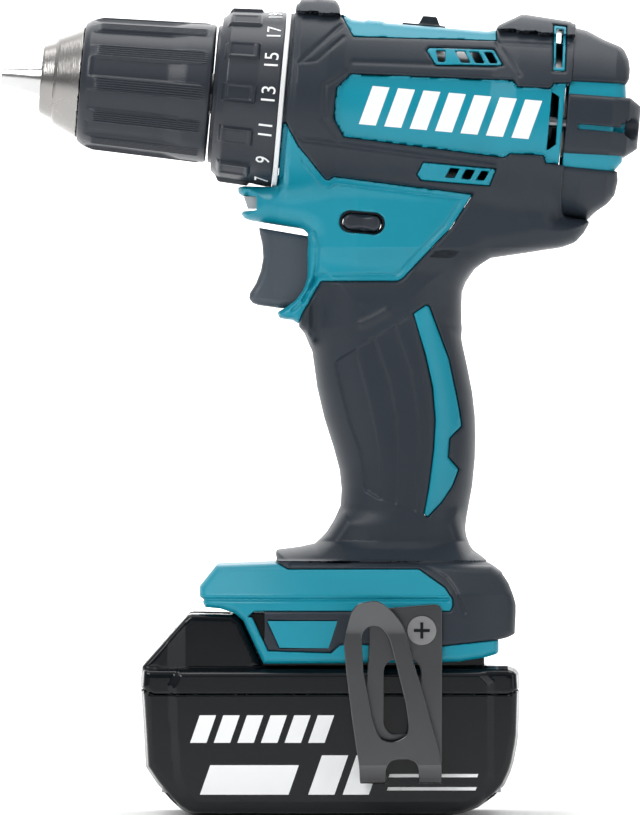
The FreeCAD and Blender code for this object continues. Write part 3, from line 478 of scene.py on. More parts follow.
# teal parts of the side view; all the rest of the housing is covered by the soft overmould
PANEL = [
    (6, 227), (1.6, 222.6), (0.7, 213.4), (3.9, 207.6), (52, 201.4), (53.3, 201.5),
    (54.6, 202.5), (64.8, 202), (65.6, 199.7), (70.2, 199.2), (76, 199), (76, 224.1),
    (68.1, 224.1), (66.9, 222.5), (56.9, 223), (55.6, 225),
]
DECK = [(2.9, 262), (2.9, 245.7), (6.9, 238.4), (50.8, 237.3), (50.4, 262)]
FRONT = [
    (-50, 148), (-50, 212), (-13.6, 212), (-12.6, 209.7), (-10, 205), (-1.8, 195),
    (-0.8, 194.8), (0.9, 195.8), (43.4, 190.3), (36.7, 180), (21.9, 164.5), (20.3, 163.7),
    (-3, 163.7), (-5.1, 160.2), (-6.9, 156.8), (-8.6, 154.2), (-10.2, 150.2), (-14, 148),
]
FOOT_PANEL = [
    (-60, 90), (-60, 50), (-25, 55), (-25.5, 61), (-23.5, 62.9), (36.2, 62.9), (37, 64.4),
    (37, 66.5), (34.7, 70), (26.8, 75.6), (-13.2, 75.6), (-17.5, 78), (-18, 90),
]
FOOT_STRIP = [
    (-29, 61), (-24.1, 61.1), (-19.2, 50.8), (0, 50.2), (2.7, 52.6), (5.2, 52.8), (34, 52.2),
    (39, 52.8), (50.4, 54), (60, 54.5), (60, 40), (-40, 40), (-40, 61),
]
BADGE = [(-19.4, 60.1), (1.9, 60.1), (-0.8, 51.7), (-15.7, 51.7)]


def barrel(x, y, z):
    u, w = barrel_axes(x, z)
    radial = np.hypot(y, w)
    side = np.interp(u, SIDE_U, SIDE_R)
    top = np.interp(u, TOP_U, TOP_W)
    body = smax(radial - side - np.where(w > 27, 2.0, 0.0), w - top, 1.6)
    return smax(smax(body, -12.5 - u, 0.8), u - 71.9, 0.3)


def front_ring(x, y, z):
    u, w = barrel_axes(x, z)
    return most(np.hypot(y, w) - 26.0, most(-14.1 - u, u))


def hard_body(x, y, z):
    """The outer shape of the whole housing, before the overmould is added."""
    round_barrel = barrel(x, y, z)
    neck_half = np.interp(x, NECK_X, NECK_HALF) - np.interp(z, (148, 174), (13, 0))
    neck = pillow(polygon(x, z, NECK), y, neck_half, 6.0, 7.0)
    lens_slot = most(x + 22.9, most(185.6 - z, z - 189.9))
    neck = smax(neck, -lens_slot, 0.4)
    u, w = barrel_axes(x, z)
    neck = smax(neck, -most(np.hypot(y, w) - 27.8, u + 14.1), 0.6)
    handle = pillow(polygon(x, z, HANDLE), y, 17.2, 15.5, 15.5)
    guard = pillow(polygon(x, z, GUARD), y, np.interp(x, (-16, -7, -2), (12.0, 13.0, 8.0)), 1.8, 3.5)
    flange = pillow(polygon(x, z, FLANGE), y, np.interp(z, (76, 84), (27.0, 15.0)), 3.5, 6.0)
    side = 36.6 - 6.6 * np.clip((-6 - x) / 34, 0, 1) ** 2 - 5.6 * np.clip((x - 38) / 18, 0, 1) ** 2
    foot = pillow(polygon(x, z, FOOT), y, side + np.interp(z, (68, 77), (0.0, -5.5)), 2.0, 2.5)
    groove = 0.7 * np.exp(-((z - 66.4) / 0.5) ** 2)
    body = smin(round_barrel, neck, 4.0)
    body = smin(body, handle, 5.0)
    body = smin(body, guard, 3.0)
    body = smin(body, flange, 3.0)
    body = smin(body, foot + np.where(x < 36, groove, 0), 0.8)
    return least(body, front_ring(x, y, z))


def teal_region(x, z):
    return nearest(x, z, (PANEL, DECK, FRONT, FOOT_PANEL, FOOT_STRIP))


# openings in the housing, all the way through its shells
VENT_TOP = [
    [(32.1, 234.2), (34.9, 234.0), (34.9, 230.5), (32.8, 230.6)],
    [(38.0, 234.0), (40.8, 233.9), (42.6, 230.3), (39.8, 230.4)],
    [(42.4, 233.8), (45.2, 233.7), (47.0, 230.2), (44.2, 230.3)],
    [(46.8, 233.7), (49.2, 233.6), (51.0, 230.2), (48.6, 230.2)],
]
VENT_LOW = [
    [(34.9, 195.5), (37.7, 195.2), (39.3, 198.0), (36.5, 198.3)],
    [(39.7, 195.1), (42.5, 194.8), (44.1, 197.6), (41.3, 197.9)],
    [(44.4, 194.7), (46.8, 194.5), (48.4, 197.2), (46.0, 197.4)],
]
VENT_TOP_FRAME = [(30, 235), (49.8, 234.5), (52.5, 229.5), (32, 229.7), (29.3, 234)]
VENT_LOW_FRAME = [(26.3, 196.3), (28.2, 200), (50.4, 197.9), (48.4, 192.9), (27.5, 194.6)]
WINDOW = [(67.4, 221.4), (69.7, 219.9), (68.6, 205.4), (65.8, 203.3)]
WINDOW_FRAME = [(66.6, 222.3), (71.9, 222.2), (71.2, 202.0), (65.4, 202.4)]
REAR_SLOT = [(69.2, 241.0), (71.3, 240.8), (70.6, 228.8), (68.6, 228.9)]
REAR_SLOT_FRAME = [(68.3, 242.2), (72.2, 241.7), (71.5, 227.6), (67.9, 227.8)]
SLOT_FRAMES = (VENT_TOP_FRAME, VENT_LOW_FRAME, REAR_SLOT_FRAME)
SCREWS = ((-1.0, 245.4, 9.0), (63.0, 239.6, 10.0), (-3.0, 190.5, 13.0), (64.0, 180.6, 12.0),
          (35.0, 163.0, 9.5), (22.5, 93.0, 11.0), (-29.0, 70.0, 26.0), (50.6, 62.5, 26.0))
SCREW_WELL_R = 3.2
BUTTON = (9.5, 181.7)
CLIP_HOLE = (27.6, 57.1)
TRIGGER_WAY = [(-40, 183.6), (9, 177.9), (9, 155.2), (-40, 155.2)]


def button_slot(x, z, half_length, half_height):
    """Rounded slot along the barrel's direction, round the direction button."""
    along = (x - BUTTON[0]) * COS - (z - BUTTON[1]) * SIN
    up = (x - BUTTON[0]) * SIN + (z - BUTTON[1]) * COS
    reach = most(np.abs(along) - half_length + half_height, 0)
    return np.hypot(reach, up) - half_height


BARREL_BORE_R = 23.6     # clear way for the gear case and the motor inside the barrel
FOOT_OPEN_Z = 62.7       # top of the battery's way into the foot


def openings(x, y, z, side):
    """Distance to everything that is cut out of the housing; side is -1 left, +1 right."""
    u, w = barrel_axes(x, z)
    slots = nearest(x, z, [WINDOW] + VENT_TOP + VENT_LOW + [REAR_SLOT])
    cut = most(slots, 9.0 - np.abs(y))
    cut = least(cut, most(button_slot(x, z, 7.0, 3.4), 8.0 - np.abs(y)))
    trigger = most(polygon(x, z, TRIGGER_WAY), np.abs(y) - 8.85)
    cut = least(cut, trigger)
    selector = most(19.4 - u, u - 41.6, most(np.abs(y) - 9.3, 22.0 - w))
    cut = least(cut, selector)
    cut = least(cut, most(np.hypot(y, w) - BARREL_BORE_R, -20.0 - u))
    battery = most(np.abs(y) - 28.4, z - FOOT_OPEN_Z, x - 47.6)
    cut = least(cut, battery)
    if side > 0:
        for sx, sz, seat in SCREWS:
            cut = least(cut, most(rod_y(x, z, (sx, sz), SCREW_WELL_R), seat - y))
        cut = least(cut, most(rod_y(x, z, CLIP_HOLE, 1.65), 27.0 - y))
    badge = most(polygon(x, z, BADGE), 35.4 - np.abs(y))
    return least(cut, badge)


def split(field, y, side):
    return most(field, SEAM - side * y)


def shell(outer, thickness=SHELL):
    return most(outer, -(outer + thickness))


PANEL_DEPTH = 0.9        # how far the side panel is sunk below the overmould's level
RIM_WIDTH = 2.0          # from the overmould's edge to the groove that follows it
GUARD_CREASE = [(-5.2, 178.6), (-4.1, 174.4), (-4.3, 169.3), (-5.2, 164.0), (-7.4, 159.4),
                (-11.6, 155.0)]


def foot_floor(x, y, z, outer):
    """The plate over the battery, inside the foot."""
    return most(FOOT_OPEN_Z - z, z - 64.4, outer + 0.6)


def teal_surface(x, y, z):
    """The outer surface of the hard shell: a sunk side panel, and grooves along its edges."""
    outer = hard_body(x, y, z)
    outer = outer + PANEL_DEPTH * np.clip(-polygon(x, z, PANEL) / 0.6, 0, 1) * (np.abs(y) > 12)
    frames = nearest(x, z, SLOT_FRAMES)
    outer = outer - 0.6 * np.clip(1 - frames / 0.5, 0, 1)
    rim = polygon(x, z, FRONT) + RIM_WIDTH
    outer = outer + 0.4 * np.exp(-(rim / 0.5) ** 2) * (x > -9)
    outer = outer + 0.45 * np.exp(-(polyline(x, z, GUARD_CREASE) / 0.6) ** 2)
    return outer


def teal_field(side):
    def field(x, y, z):
        outer = teal_surface(x, y, z)
        region = least(teal_region(x, z), nearest(x, z, SLOT_FRAMES + (WINDOW_FRAME,)))
        solid = smax(shell(outer), region + 0.05, 0.25)
        solid = least(solid, foot_floor(x, y, z, outer))
        solid = smax(solid, -openings(x, y, z, side), 0.3)
        return split(solid, y, side)
    return field


# sunk lines in the soft overmould: (points, depth, half width)
CREASES = (
    ([(-9.6, 230.5), (3, 241.9)], 0.55, 0.7),
    ([(-8, 230.5), (-4.5, 231.0), (3.8, 238.2)], 0.45, 0.6),
    ([(4.9, 227.4), (-1.8, 223.4), (-2.6, 213.2), (2.2, 207)], 0.5, 0.8),
    ([(-10.8, 208.3), (-8.4, 206.7), (5, 205), (50, 198.8)], 0.55, 0.8),
    ([(7.0, 230.6), (50.0, 229.2)], 0.5, 0.8),
    ([(50.8, 236.5), (57.5, 226.6)], 0.5, 0.8),
    ([(51.5, 236.5), (73.0, 235.5)], 0.4, 0.7),
    ([(-12.0, 76.9), (26.4, 77.1), (31, 75.6), (35, 72.8), (37.5, 69.3), (39, 66), (40.6, 62.6)],
     0.5, 0.7),
)
# front edges of the grip's ribs, from the top down; each rib slopes off behind its edge
RIBS = (
    [(7.5, 140.7), (10.8, 128.6), (14.1, 113.2), (14.7, 104.9), (14.9, 97)],
    [(13, 146.4), (17.4, 133.5), (19.6, 123), (20.4, 109.3), (19.6, 95.6)],
    [(19.3, 150), (24, 136.8), (25.9, 124.7), (26.5, 114.8), (25.4, 95.6)],
)
RIB_STEP = 0.65
RIB_PITCH = 6.2
THUMB_LEDGE = [(9.5, 150.6), (13.0, 152.2), (17.0, 154.4)]
GRIP_PANEL = [
    (1.5, 139.8), (25.1, 153.6), (29.6, 141.2), (31.8, 131.3), (32.4, 121.4), (31.9, 112),
    (30.5, 101), (28.6, 91.6), (14.1, 96.9), (10.5, 99.1), (9.7, 101), (9.5, 106), (8.6, 111.5),
    (5.3, 120.3), (2.3, 131.8), (0.9, 138.5),
]
STRIPE = [
    (25.2, 153.8), (29, 156.4), (30.1, 156), (36.1, 140), (38.9, 126.9), (40, 120.3),
    (40, 119.2), (36.4, 115.6), (35.9, 109.8), (39.2, 106), (37.3, 101), (34, 96), (29.6, 91.4),
    (28.5, 92.2), (30.1, 101), (31.5, 112), (32, 121.4), (31.2, 131.3), (29, 141.2),
]


def overmould_surface(x, y, z):
    """The outer surface of the soft overmould, with its creases and ribs."""
    outer = hard_body(x, y, z) - np.where(z > 78, LIFT, 0.35)
    for points, depth, half in CREASES:
        outer = outer + depth * np.exp(-(polyline(x, z, points) / half) ** 2)
    inner = np.clip(-polygon(x, z, GRIP_PANEL) / 0.8, 0, 1)
    steps = 0.0
    for points in RIBS:
        behind = x - np.interp(z, [p[1] for p in points[::-1]], [p[0] for p in points[::-1]])
        steps = steps + RIB_STEP * (np.clip(behind / RIB_PITCH, 0, 1) - np.clip(behind / 0.8, 0, 1))
    outer = outer + (0.75 + steps) * inner
    return outer - 0.6 * np.exp(-(polyline(x, z, THUMB_LEDGE) / 1.3) ** 2)


def overmould_field(side, low_part):
    def field(x, y, z):
        solid = shell(overmould_surface(x, y, z), SHELL + LIFT)
        region = least(teal_region(x, z), nearest(x, z, SLOT_FRAMES + (WINDOW_FRAME,)))
        stripe = most(polygon(x, z, STRIPE), 6.0 - np.abs(y))
        region = least(region, stripe)
        solid = smax(solid, 0.05 - region, 1.1)
        solid = smax(solid, -openings(x, y, z, side), 0.4)
        cut = z - 173.4 if low_part else 170.6 - z
        return split(most(solid, cut), y, side)
    return field


def stripe_field(side):
    def field(x, y, z):
        outer = hard_body(x, y, z) - LIFT * 0.7
        inner = polygon(x, z, STRIPE)
        solid = most(shell(outer, SHELL), 6.0 - np.abs(y))
        return split(smax(solid, inner + 0.05, 0.9), y, side)
    return field


def make_housing():
    for side, word in SIDES:
        low_y, high_y = (-40.0, 1.0) if side < 0 else (-1.0, 40.0)
        carve_piece(f"housing_shell_{word}", teal_field(side), (-43, low_y, 45), (76, high_y, 253),
                    MEDIUM, TEAL, "root", "housing", f"housing_{word}")
        carve_piece(f"overmould_barrel_{word}", overmould_field(side, False), (-15, low_y, 169),
                    (82, high_y, 254), MEDIUM, RUBBER, "root", "elastomer", f"overmould_{word}")
        carve_piece(f"overmould_grip_{word}", overmould_field(side, True), (-20, low_y, 49),
                    (80, high_y, 175), GRIP_STEP, RUBBER, "root", "elastomer", f"overmould_{word}")
        carve_piece(f"grip_stripe_{word}", stripe_field(side), (22, low_y, 88), (43, high_y, 159), FINE,
                    TEAL, "root", "housing")


# ------------------------------------------------------------------ rear cover
TOP_LOBE = [
    (69.9, 243.6), (78.6, 241.1), (83.7, 238), (88.8, 235.8), (90, 234.8), (91.3, 231.7),
    (91.6, 228.6), (91.3, 225.6), (90.3, 223.8), (68.6, 224.8),
]
MIDDLE_LOBE = [(68.0, 221.4), (91.6, 219.7), (94.9, 217.2), (93.7, 204.2), (89.6, 201.7), (66.8, 202.8)]
BOTTOM_LOBE = [
    (66.3, 199.3), (87.6, 197.3), (87.8, 194.4), (87.3, 191.9), (86.9, 190.1), (84.8, 187.5),
    (81.2, 185), (78.6, 182.4), (64.4, 182.9),
]
COVER = [
    (69.0, 242.0), (78.2, 239.6), (83.2, 236.6), (88.4, 234), (90.2, 224), (90.5, 212),
    (89.0, 200), (86.3, 197), (85.9, 190.8), (83.6, 188.3), (80.2, 186), (77, 183.6), (64.6, 183.8),
]
LOBE_LIFT = 1.3          # how far the soft lobes stand over the cover
STRIPE_GROOVE = [(75.3, 211.6), (89.6, 210.4), (89.5, 208.9), (75.3, 210.1)]


def cover_solid(x, y, z, outline, lift, edge):
    u, w = barrel_axes(x, z)
    radius = np.interp(u, (72, 78, 86, 91, 96), (29.9, 29.6, 28.6, 26.0, 19.0)) + lift
    solid = smax(polygon(x, z, outline), np.hypot(y, w) - radius, edge)
    return smax(solid, 72.1 - u, 0.3)


def cover_wells(u, y, w):
    """The sunk places of the rear cover's two screws."""
    return most(np.hypot(np.abs(y) - 24.6, w) - SCREW_WELL_R, 82.0 - u)


def make_rear_cover():
    def cover(x, y, z):
        u, w = barrel_axes(x, z)
        solid = cover_solid(x, y, z, COVER, 0.0, 2.5)
        inside = most(np.hypot(y, w) - 25.6, u - 83.0)
        return most(solid, -inside, -cover_wells(u, y, w))

    def bumper(x, y, z):
        u, w = barrel_axes(x, z)
        solid = cover_solid(x, y, z, TOP_LOBE, LOBE_LIFT, 2.2)
        for outline in (MIDDLE_LOBE, BOTTOM_LOBE):
            solid = least(solid, cover_solid(x, y, z, outline, LOBE_LIFT, 2.2))
        core = cover_solid(x, y, z, COVER, 0.0, 2.5)
        solid = most(solid, -(core + 0.9))
        groove = most(polygon(x, z, STRIPE_GROOVE), 12.0 - np.abs(y))
        return most(smax(solid, -groove, 0.5), -cover_wells(u, y, w))

    def can_end(x, y, z):
        u, w = barrel_axes(x, z)
        wall = most(np.abs(np.hypot(y, w) - 24.4) - 0.6, np.abs(u - 68.0) - 3.8)
        return most(wall, 12.5 - w)

    carve_piece("motor_can_end", can_end, (60, -26, 224), (76, 26, 246), MEDIUM,
                CAN, "root", "motor_steel")
    carve_piece("rear_cover_shell", cover, (68, -33, 180), (93, 33, 243), MEDIUM,
                TEAL, "root", "housing", "rear_cover")
    carve_piece("rear_bumper_lobes", bumper, (68, -33, 180), (96, 33, 244), MEDIUM,
                RUBBER, "root", "elastomer", "rear_bumper")


# ------------------------------------------------------------------ chuck and torque ring
def wave(angles, count, half, soft):
    """1 within half degrees of each of count evenly spaced directions, falling off over soft."""
    pitch = 360.0 / count
    away = np.abs((np.degrees(angles) + pitch / 2) % pitch - pitch / 2)
    return np.clip((half + soft - away) / soft, 0.0, 1.0)


def make_chuck():
    turn = np.linspace(0, 2 * math.pi, 720, endpoint=False)
    side = math.radians(90)

    def sleeve_radius(u, r, pattern, a):
        if not pattern:
            return np.full_like(a, r)
        a = a - side - math.radians(1)
        land = wave(a, 12, 5.2, 2.2)
        ease = np.interp(u, (-75.0, -73.4, -39.5, -38.4), (0.0, 1.0, 1.0, 0.0))
        fine = np.abs(np.sin(np.degrees(a) % 30.0 * math.pi / 2.0))
        lands = 0.28 * land * fine * np.interp(u, (-73, -72, -40, -39), (0, 1, 1, 0))
        end = np.interp(u, (-75.4, -73.6, -50.5, -45.0), (0.35, 1.0, 1.0, 0.0))
        return r - 0.75 * (1 - land) * end * ease + lands

    outer_u = np.concatenate([np.linspace(-76.6, -72.0, 9), np.linspace(-71.2, -38.2, 56)])
    outer = [(u, float(np.interp(u, (-76.6, -75.4, -73.2, -38.0), (18.4, 19.25, 20.1, 21.3))), True)
             for u in outer_u]
    rim = [(-77.1, 17.3, False), (-77.15, 17.7, False), (-77.0, 18.0, False)]
    back = [(-37.5, 21.15, False), (-37.1, 20.7, False), (-37.1, 17.0, False),
            (-39.3, 17.0, False), (-39.3, 19.2, False), (-74.6, 19.2, False), (-74.6, 17.2, False)]
    sleeve = turned_grid("chuck_sleeve_grip", rim + outer + back, turn, sleeve_radius)
    finish_piece(sharpen(sleeve, 50), BLACK, "chuck_sleeve_unit", "black_plastic", "chuck_sleeve")


JAW_LEAN = math.radians(14.0)
JAW_SLOPE = math.tan(JAW_LEAN)
JAW_TIP = -101.8
JAW_ROD_R = 3.4


def jaw_rod(u, y, w, turn, radius):
    """Distance to the round bar that a jaw is ground from, on its slanting line of travel."""
    out = w * math.cos(turn) - y * math.sin(turn)
    across = y * math.cos(turn) + w * math.sin(turn)
    line = -0.454 + (u - JAW_TIP) * JAW_SLOPE
    return np.hypot((out - line) * math.cos(JAW_LEAN), across) - radius


def make_jaws():
    for k in range(3):
        turn = math.radians(120 * k)

        def jaw(x, y, z, turn=turn):
            u, w = barrel_axes(x, z)
            out = w * math.cos(turn) - y * math.sin(turn)
            across = np.abs(y * math.cos(turn) + w * math.sin(turn))
            cone = np.hypot(y, w) - np.interp(u, (-102, -89.5, -85), (3.05, 5.6, 5.9))
            wedge = across * 0.5 - out * math.sin(math.radians(60)) + 0.07
            head = smax(most(cone, u + 86.5), JAW_TIP - u, 0.35)
            rod = most(jaw_rod(u, y, w, turn, JAW_ROD_R), most(-87.5 - u, u + 63.5))
            solid = most(least(head, rod), wedge)
            return most(solid, 0.75 - np.hypot(y, w))

        x, z = world_xz(-82.0, 0.0)
        reach = 21.5
        carve_piece(f"jaw_{k + 1}_ground", jaw, (x - reach, -14, z - 15), (x + reach, 14, z + 15), 0.33,
                    JAW, f"jaw_{k + 1}_body", "jaw_steel", f"jaw_{k + 1}")


CHUCK_OUTLINE = [
    (-89.5, 0), (-89.5, 10.3), (-89.1, 10.7), (-85.4, 12.3), (-85.3, 13.0), (-84.7, 13.6),
    (-77.4, 17.2), (-77.4, 16.6), (-38.4, 16.6), (-38.4, 0),
]
CHUCK_BORE = [(-95, 0), (-95, 6.3), (-89.5, 6.3), (-64, 12.4), (-58, 12.4), (-58, 0)]


def make_chuck_body():
    def body(x, y, z):
        u, w = barrel_axes(x, z)
        r = np.hypot(y, w)
        solid = smax(polygon(u, r, CHUCK_OUTLINE), -polygon(u, r, CHUCK_BORE), 0.3)
        for k in range(3):
            solid = most(solid, -jaw_rod(u, y, w, math.radians(120 * k), JAW_ROD_R + 0.1))
        groove = most(np.abs(u + 66.0) - 4.6, 13.0 - r)
        return most(solid, -groove, 6.2 - r)

    x, z = world_xz(-64.0, 0.0)
    carve_piece("chuck_body_turned", body, (x - 28, -18, z - 21), (x + 28, 18, z + 21), 0.42,
                NOSE, "spindle_unit", "nose_metal", "chuck_body")


def plain(u, r, pattern, angles):
    return np.full_like(angles, r)


def front_lip(x, y, z):
    """The torque ring's narrow front rim, which closes the view behind the chuck's sleeve."""
    u, w = barrel_axes(x, z)
    return most(np.abs(np.hypot(y, w) - 18.6) - 1.0, np.abs(u + 35.6) - 0.9)


def make_torque_ring():
    carve_piece("torque_ring_lip", front_lip, (-41, -21, 195), (-31, 21, 245), FINE,
                BLACK, "torque_ring_unit", "black_plastic")
    turn = np.linspace(0, 2 * math.pi, 720, endpoint=False)

    def ring_radius(u, r, pattern, a):
        if not pattern:
            return np.full_like(a, r)
        a = a - math.radians(90 - 1)
        pad = wave(a, 12, 5.6, 0.7)
        inner = wave(a, 12, 3.9, 0.7)
        along = np.interp(u, (-33.6, -32.9, -23.6, -23.0), (0.0, 1.0, 1.0, 0.0))
        face = np.interp(u, (-32.2, -31.4, -25.0, -24.2), (0.0, 1.0, 1.0, 0.0))
        return r + 0.95 * pad * along - 0.35 * inner * face

    us = np.linspace(-35.2, -16.3, 64)
    rows = [(-36.4, 17.2, False), (-36.4, 20.8, False), (-36.1, 21.2, False), (-35.3, 21.2, False),
            (-35.25, 23.3, False)]
    rows += [(u, float(np.interp(u, (-35.2, -32.4, -23, -16.2), (23.6, 25.9, 26.4, 27.0))), True)
             for u in us]
    rows += [(-16.1, 26.9, False), (-16.1, 21.4, False), (-34.8, 21.4, False), (-34.8, 17.2, False)]
    ring = turned_grid("torque_ring_grip", rows, turn, ring_radius)
    finish_piece(sharpen(ring, 40), BLACK, "torque_ring_unit", "black_plastic", "torque_ring")
    rows = [(-15.9, 21.4, False), (-15.9, 27.2, False), (-15.7, 27.45, False),
            (-14.6, 27.55, False), (-14.4, 27.35, False), (-14.4, 21.4, False)]
    band = turned_grid("torque_ring_white_band", rows, turn[::3], plain)
    finish_piece(sharpen(band, 40), WHITE, "torque_ring_unit", "white_plastic", "torque_ring_band")


def text_mesh(words, height):
    """Outline letters as a flat mesh, centred, in millimetres."""
    curve = bpy.data.curves.new("letters", "FONT")
    curve.body = words
    curve.size = height / 0.7
    curve.align_x = "CENTER"
    curve.align_y = "CENTER"
    curve.extrude = 0.12
    return curve_mesh("letters", curve)


def make_numbers():
    """Torque numbers, wrapped round the ring; the tops of the figures point to the chuck."""
    made = bmesh.new()
    step = 23.5
    for k in range(-6, 6):
        number = 13 + 2 * k
        if number > 21 or number < 1:
            continue
        letters = text_mesh(str(number), 4.3)
        piece = bmesh.new()
        piece.from_mesh(letters)
        bmesh.ops.subdivide_edges(piece, edges=piece.edges, cuts=1)
        for v in piece.verts:
            angle = math.radians(89 - k * step) - v.co.x / 26.8
            u = -19.1 - v.co.y
            r = np.interp(u, (-23, -16.2), (26.4, 27.0)) + 0.02 + v.co.z
            x, z = world_xz(u, r * math.cos(angle))
            v.co = Vector((x, -r * math.sin(angle), z)) * MM
        piece.to_mesh(letters)
        piece.free()
        made.from_mesh(letters)
        bpy.data.meshes.remove(letters)
    finish_piece(place_edited("torque_numbers", made), WHITE, "torque_ring_unit", "white_plastic")


# ------------------------------------------------------------------ controls
TRIGGER = [
    (-22.2, 180.3), (-22.0, 178.6), (-21.2, 175.3), (-20.9, 171), (-21.6, 167.1), (-23.1, 163.2),
    (-25.0, 160.2), (-25.2, 158.5), (-24.2, 157.2), (-22.4, 156.5), (-15.9, 155.6), (2.4, 155.6),
    (2.4, 176.6), (-6.4, 177.6),
]


def make_controls():
    def trigger(x, y, z):
        face = polygon(x, z, TRIGGER)
        ridge = 1.0 * np.clip((x + 19.6) / 1.6, 0, 1)
        return pillow(face, y, 8.4 - ridge * 0.25, 2.6, 2.4)

    carve_piece("trigger_lever", trigger, (-27, -10, 154), (4, 10, 182), FINE,
                TRIGGER_GREY, "trigger_body", "black_plastic", "trigger")

    def button(x, y, z):
        end = np.abs(y) - 18.6
        dome = smax(button_slot(x, z, 5.8, 2.4), end, 1.2)
        dip = np.exp(-((x - BUTTON[0]) / 2.6) ** 2) * 0.5
        return dome + dip * (np.abs(y) > 17)

    carve_piece("direction_button_pill", button, (2, -20, 178), (17, 20, 186), FINE,
                BLACK, "direction_button_body", "black_plastic", "direction_button")

    def bezel(x, y, z):
        ring = most(button_slot(x, z, 8.6, 4.9), -button_slot(x, z, 6.0, 2.6))
        return most(ring, np.abs(np.abs(y) - 14.4) - 1.1)

    carve_piece("direction_button_bezel", bezel, (-1, -17, 175), (20, 17, 189), FINE,
                BLACK, "root", "black_plastic")

    def selector(x, y, z):
        u, w = barrel_axes(x, z)
        base = block(u, y, w, (19.6, -7.5, 25.0), (33.0, 7.5, 26.85))
        slope = np.abs(u - 27.9) - 3.3 + 0.45 * (w - 26.8)
        knob = most(slope, np.abs(y) - 6.5, most(w - 29.5, 25.0 - w))
        return smin(base, knob, 0.6)

    carve_piece("speed_selector_slider", selector, (16, -10, 236), (46, 10, 249), FINE,
                BLACK, "selector", "black_plastic", "speed_selector")


# ------------------------------------------------------------------ battery
CASE = [
    (-57.6, 46.2), (-58.3, 44.6), (-58.6, 40), (-58.2, 36.2), (-57.6, 26.7), (-57, 16.3),
    (-56.9, 15.1), (-53.6, 10.2), (-49.5, 5.2), (-46.6, 2.5), (-44.1, 0.9), (-41.7, 0.1),
    (-38, 0), (35, 0), (40.6, 0.9), (44.9, 2.5), (50, 6), (53.2, 9.5), (55.1, 13.5),
    (56.1, 16.6), (57.1, 21.7), (57.6, 25.3), (57.8, 31.5), (58, 39.4), (57.7, 44.2),
    (56.3, 45.6), (54, 46.4),
]
NOSE_BLOCK = [
    (-57.6, 45), (-57.8, 45.9), (-43.7, 61.7), (-42.5, 62.0), (-29.8, 61.7), (-27.6, 60),
    (-21.2, 46), (-30, 42),
]
BATTERY_HALF = 36.5
CASE_WALL = 2.2
PANEL_FRAME = [
    (-49.5, 40.5), (-47.0, 45.2), (46.0, 45.2), (49.8, 41.5), (49.8, 13), (48.4, 9.2), (46.1, 5),
    (41.8, 2.6), (-41.3, 2.4), (-45.4, 6.1), (-47.9, 12.3), (-49.0, 26),
]


def battery_outer(x, y, z):
    case = pillow(polygon(x, z, CASE), y, BATTERY_HALF, 3.2, 3.4)
    panel = polygon(x, z, PANEL_FRAME)
    beside = np.clip((np.abs(y) - 29.0) / 4.0, 0, 1)
    raised = np.clip(-panel / 2.2, 0, 1)
    return case + 0.3 + beside * (0.8 - 1.15 * raised)


def battery_seam(x):
    """Height of the seam between the battery's two halves."""
    return np.interp(x, (-58, -54, 54, 58), (39.4, 37.5, 37.5, 39.4))


def make_battery():
    def lower(x, y, z):
        solid = shell(battery_outer(x, y, z), CASE_WALL)
        reach = np.hypot(np.where(x < 0, x + 49.4, x - 49.6), np.abs(y) - 30.5)
        solid = least(solid, most(reach - 3.7, most(battery_outer(x, y, z), z - 8.5)))
        solid = most(solid, -most(reach - 2.6, z - 7.5))
        return smax(solid, z - battery_seam(x) + 0.12, 0.35)

    def upper(x, y, z):
        outer = battery_outer(x, y, z)
        solid = shell(outer, CASE_WALL)
        deck = most(44.2 - z, z - 46.3, outer + 0.5)
        solid = least(solid, deck)
        nose = pillow(polygon(x, z, NOSE_BLOCK), y, np.interp(x, (-50, -44), (33, 30.5)), 1.6, 2.0)
        nose = most(nose, 43.0 - z)
        tongue = block(x, y, z, (-30, -28.0, 44), (46.8, 28.0, 62.2))
        tongue = smax(tongue, -block(x, np.abs(y), z, (-20, 24.3, 49.7), (60, 40, 53.3)), 0.2)
        slots = block(x, (y + 5) % 10 - 5, z, (27, -1.2, 54.8), (60, 1.2, 70))
        tongue = smax(tongue, -most(slots, np.abs(y) - 13), 0.2)
        top = smin(nose, tongue, 0.3)
        latch = block(x, y, z, (-70, -13.4, 44.8), (-31.4, 13.4, 70))
        top = smax(top, -latch, 0.4)
        top = most(top, -block(x, y, z, (-19, -22, 40), (26.9, 22, 60.2)))
        solid = smax(least(solid, top), -latch, 0.4)
        return smax(solid, battery_seam(x) + 0.12 - z, 0.35)

    carve_piece("battery_case_lower", lower, (-60, -38, -1), (60, 38, 41), COARSE,
                GLOSS, "battery", "battery_plastic", "battery_lower_case")
    carve_piece("battery_case_upper", upper, (-60, -38, 36), (60, 38, 64), COARSE,
                GLOSS, "battery", "battery_plastic", "battery_upper_case")

    def latch(x, y, z):
        outline = [(-55.6, 48.2), (-43.8, 61.4), (-33.2, 61.5), (-33.2, 52.4), (-46, 52.4), (-50, 48)]
        solid = pillow(polygon(x, z, outline), y, 13.0, 1.4, 1.6)
        along = (x + 55.6) * 0.66 + (z - 48.2) * 0.75
        ribs = 0.35 * np.cos(along * math.pi / 1.3) * ((along > 5) & (along < 14) & (np.abs(y) < 10))
        return solid + ribs

    carve_piece("battery_release_button", latch, (-58, -14, 46), (-32, 14, 63), FINE,
                BLACK, "battery_latch_body", "battery_plastic", "battery_latch")


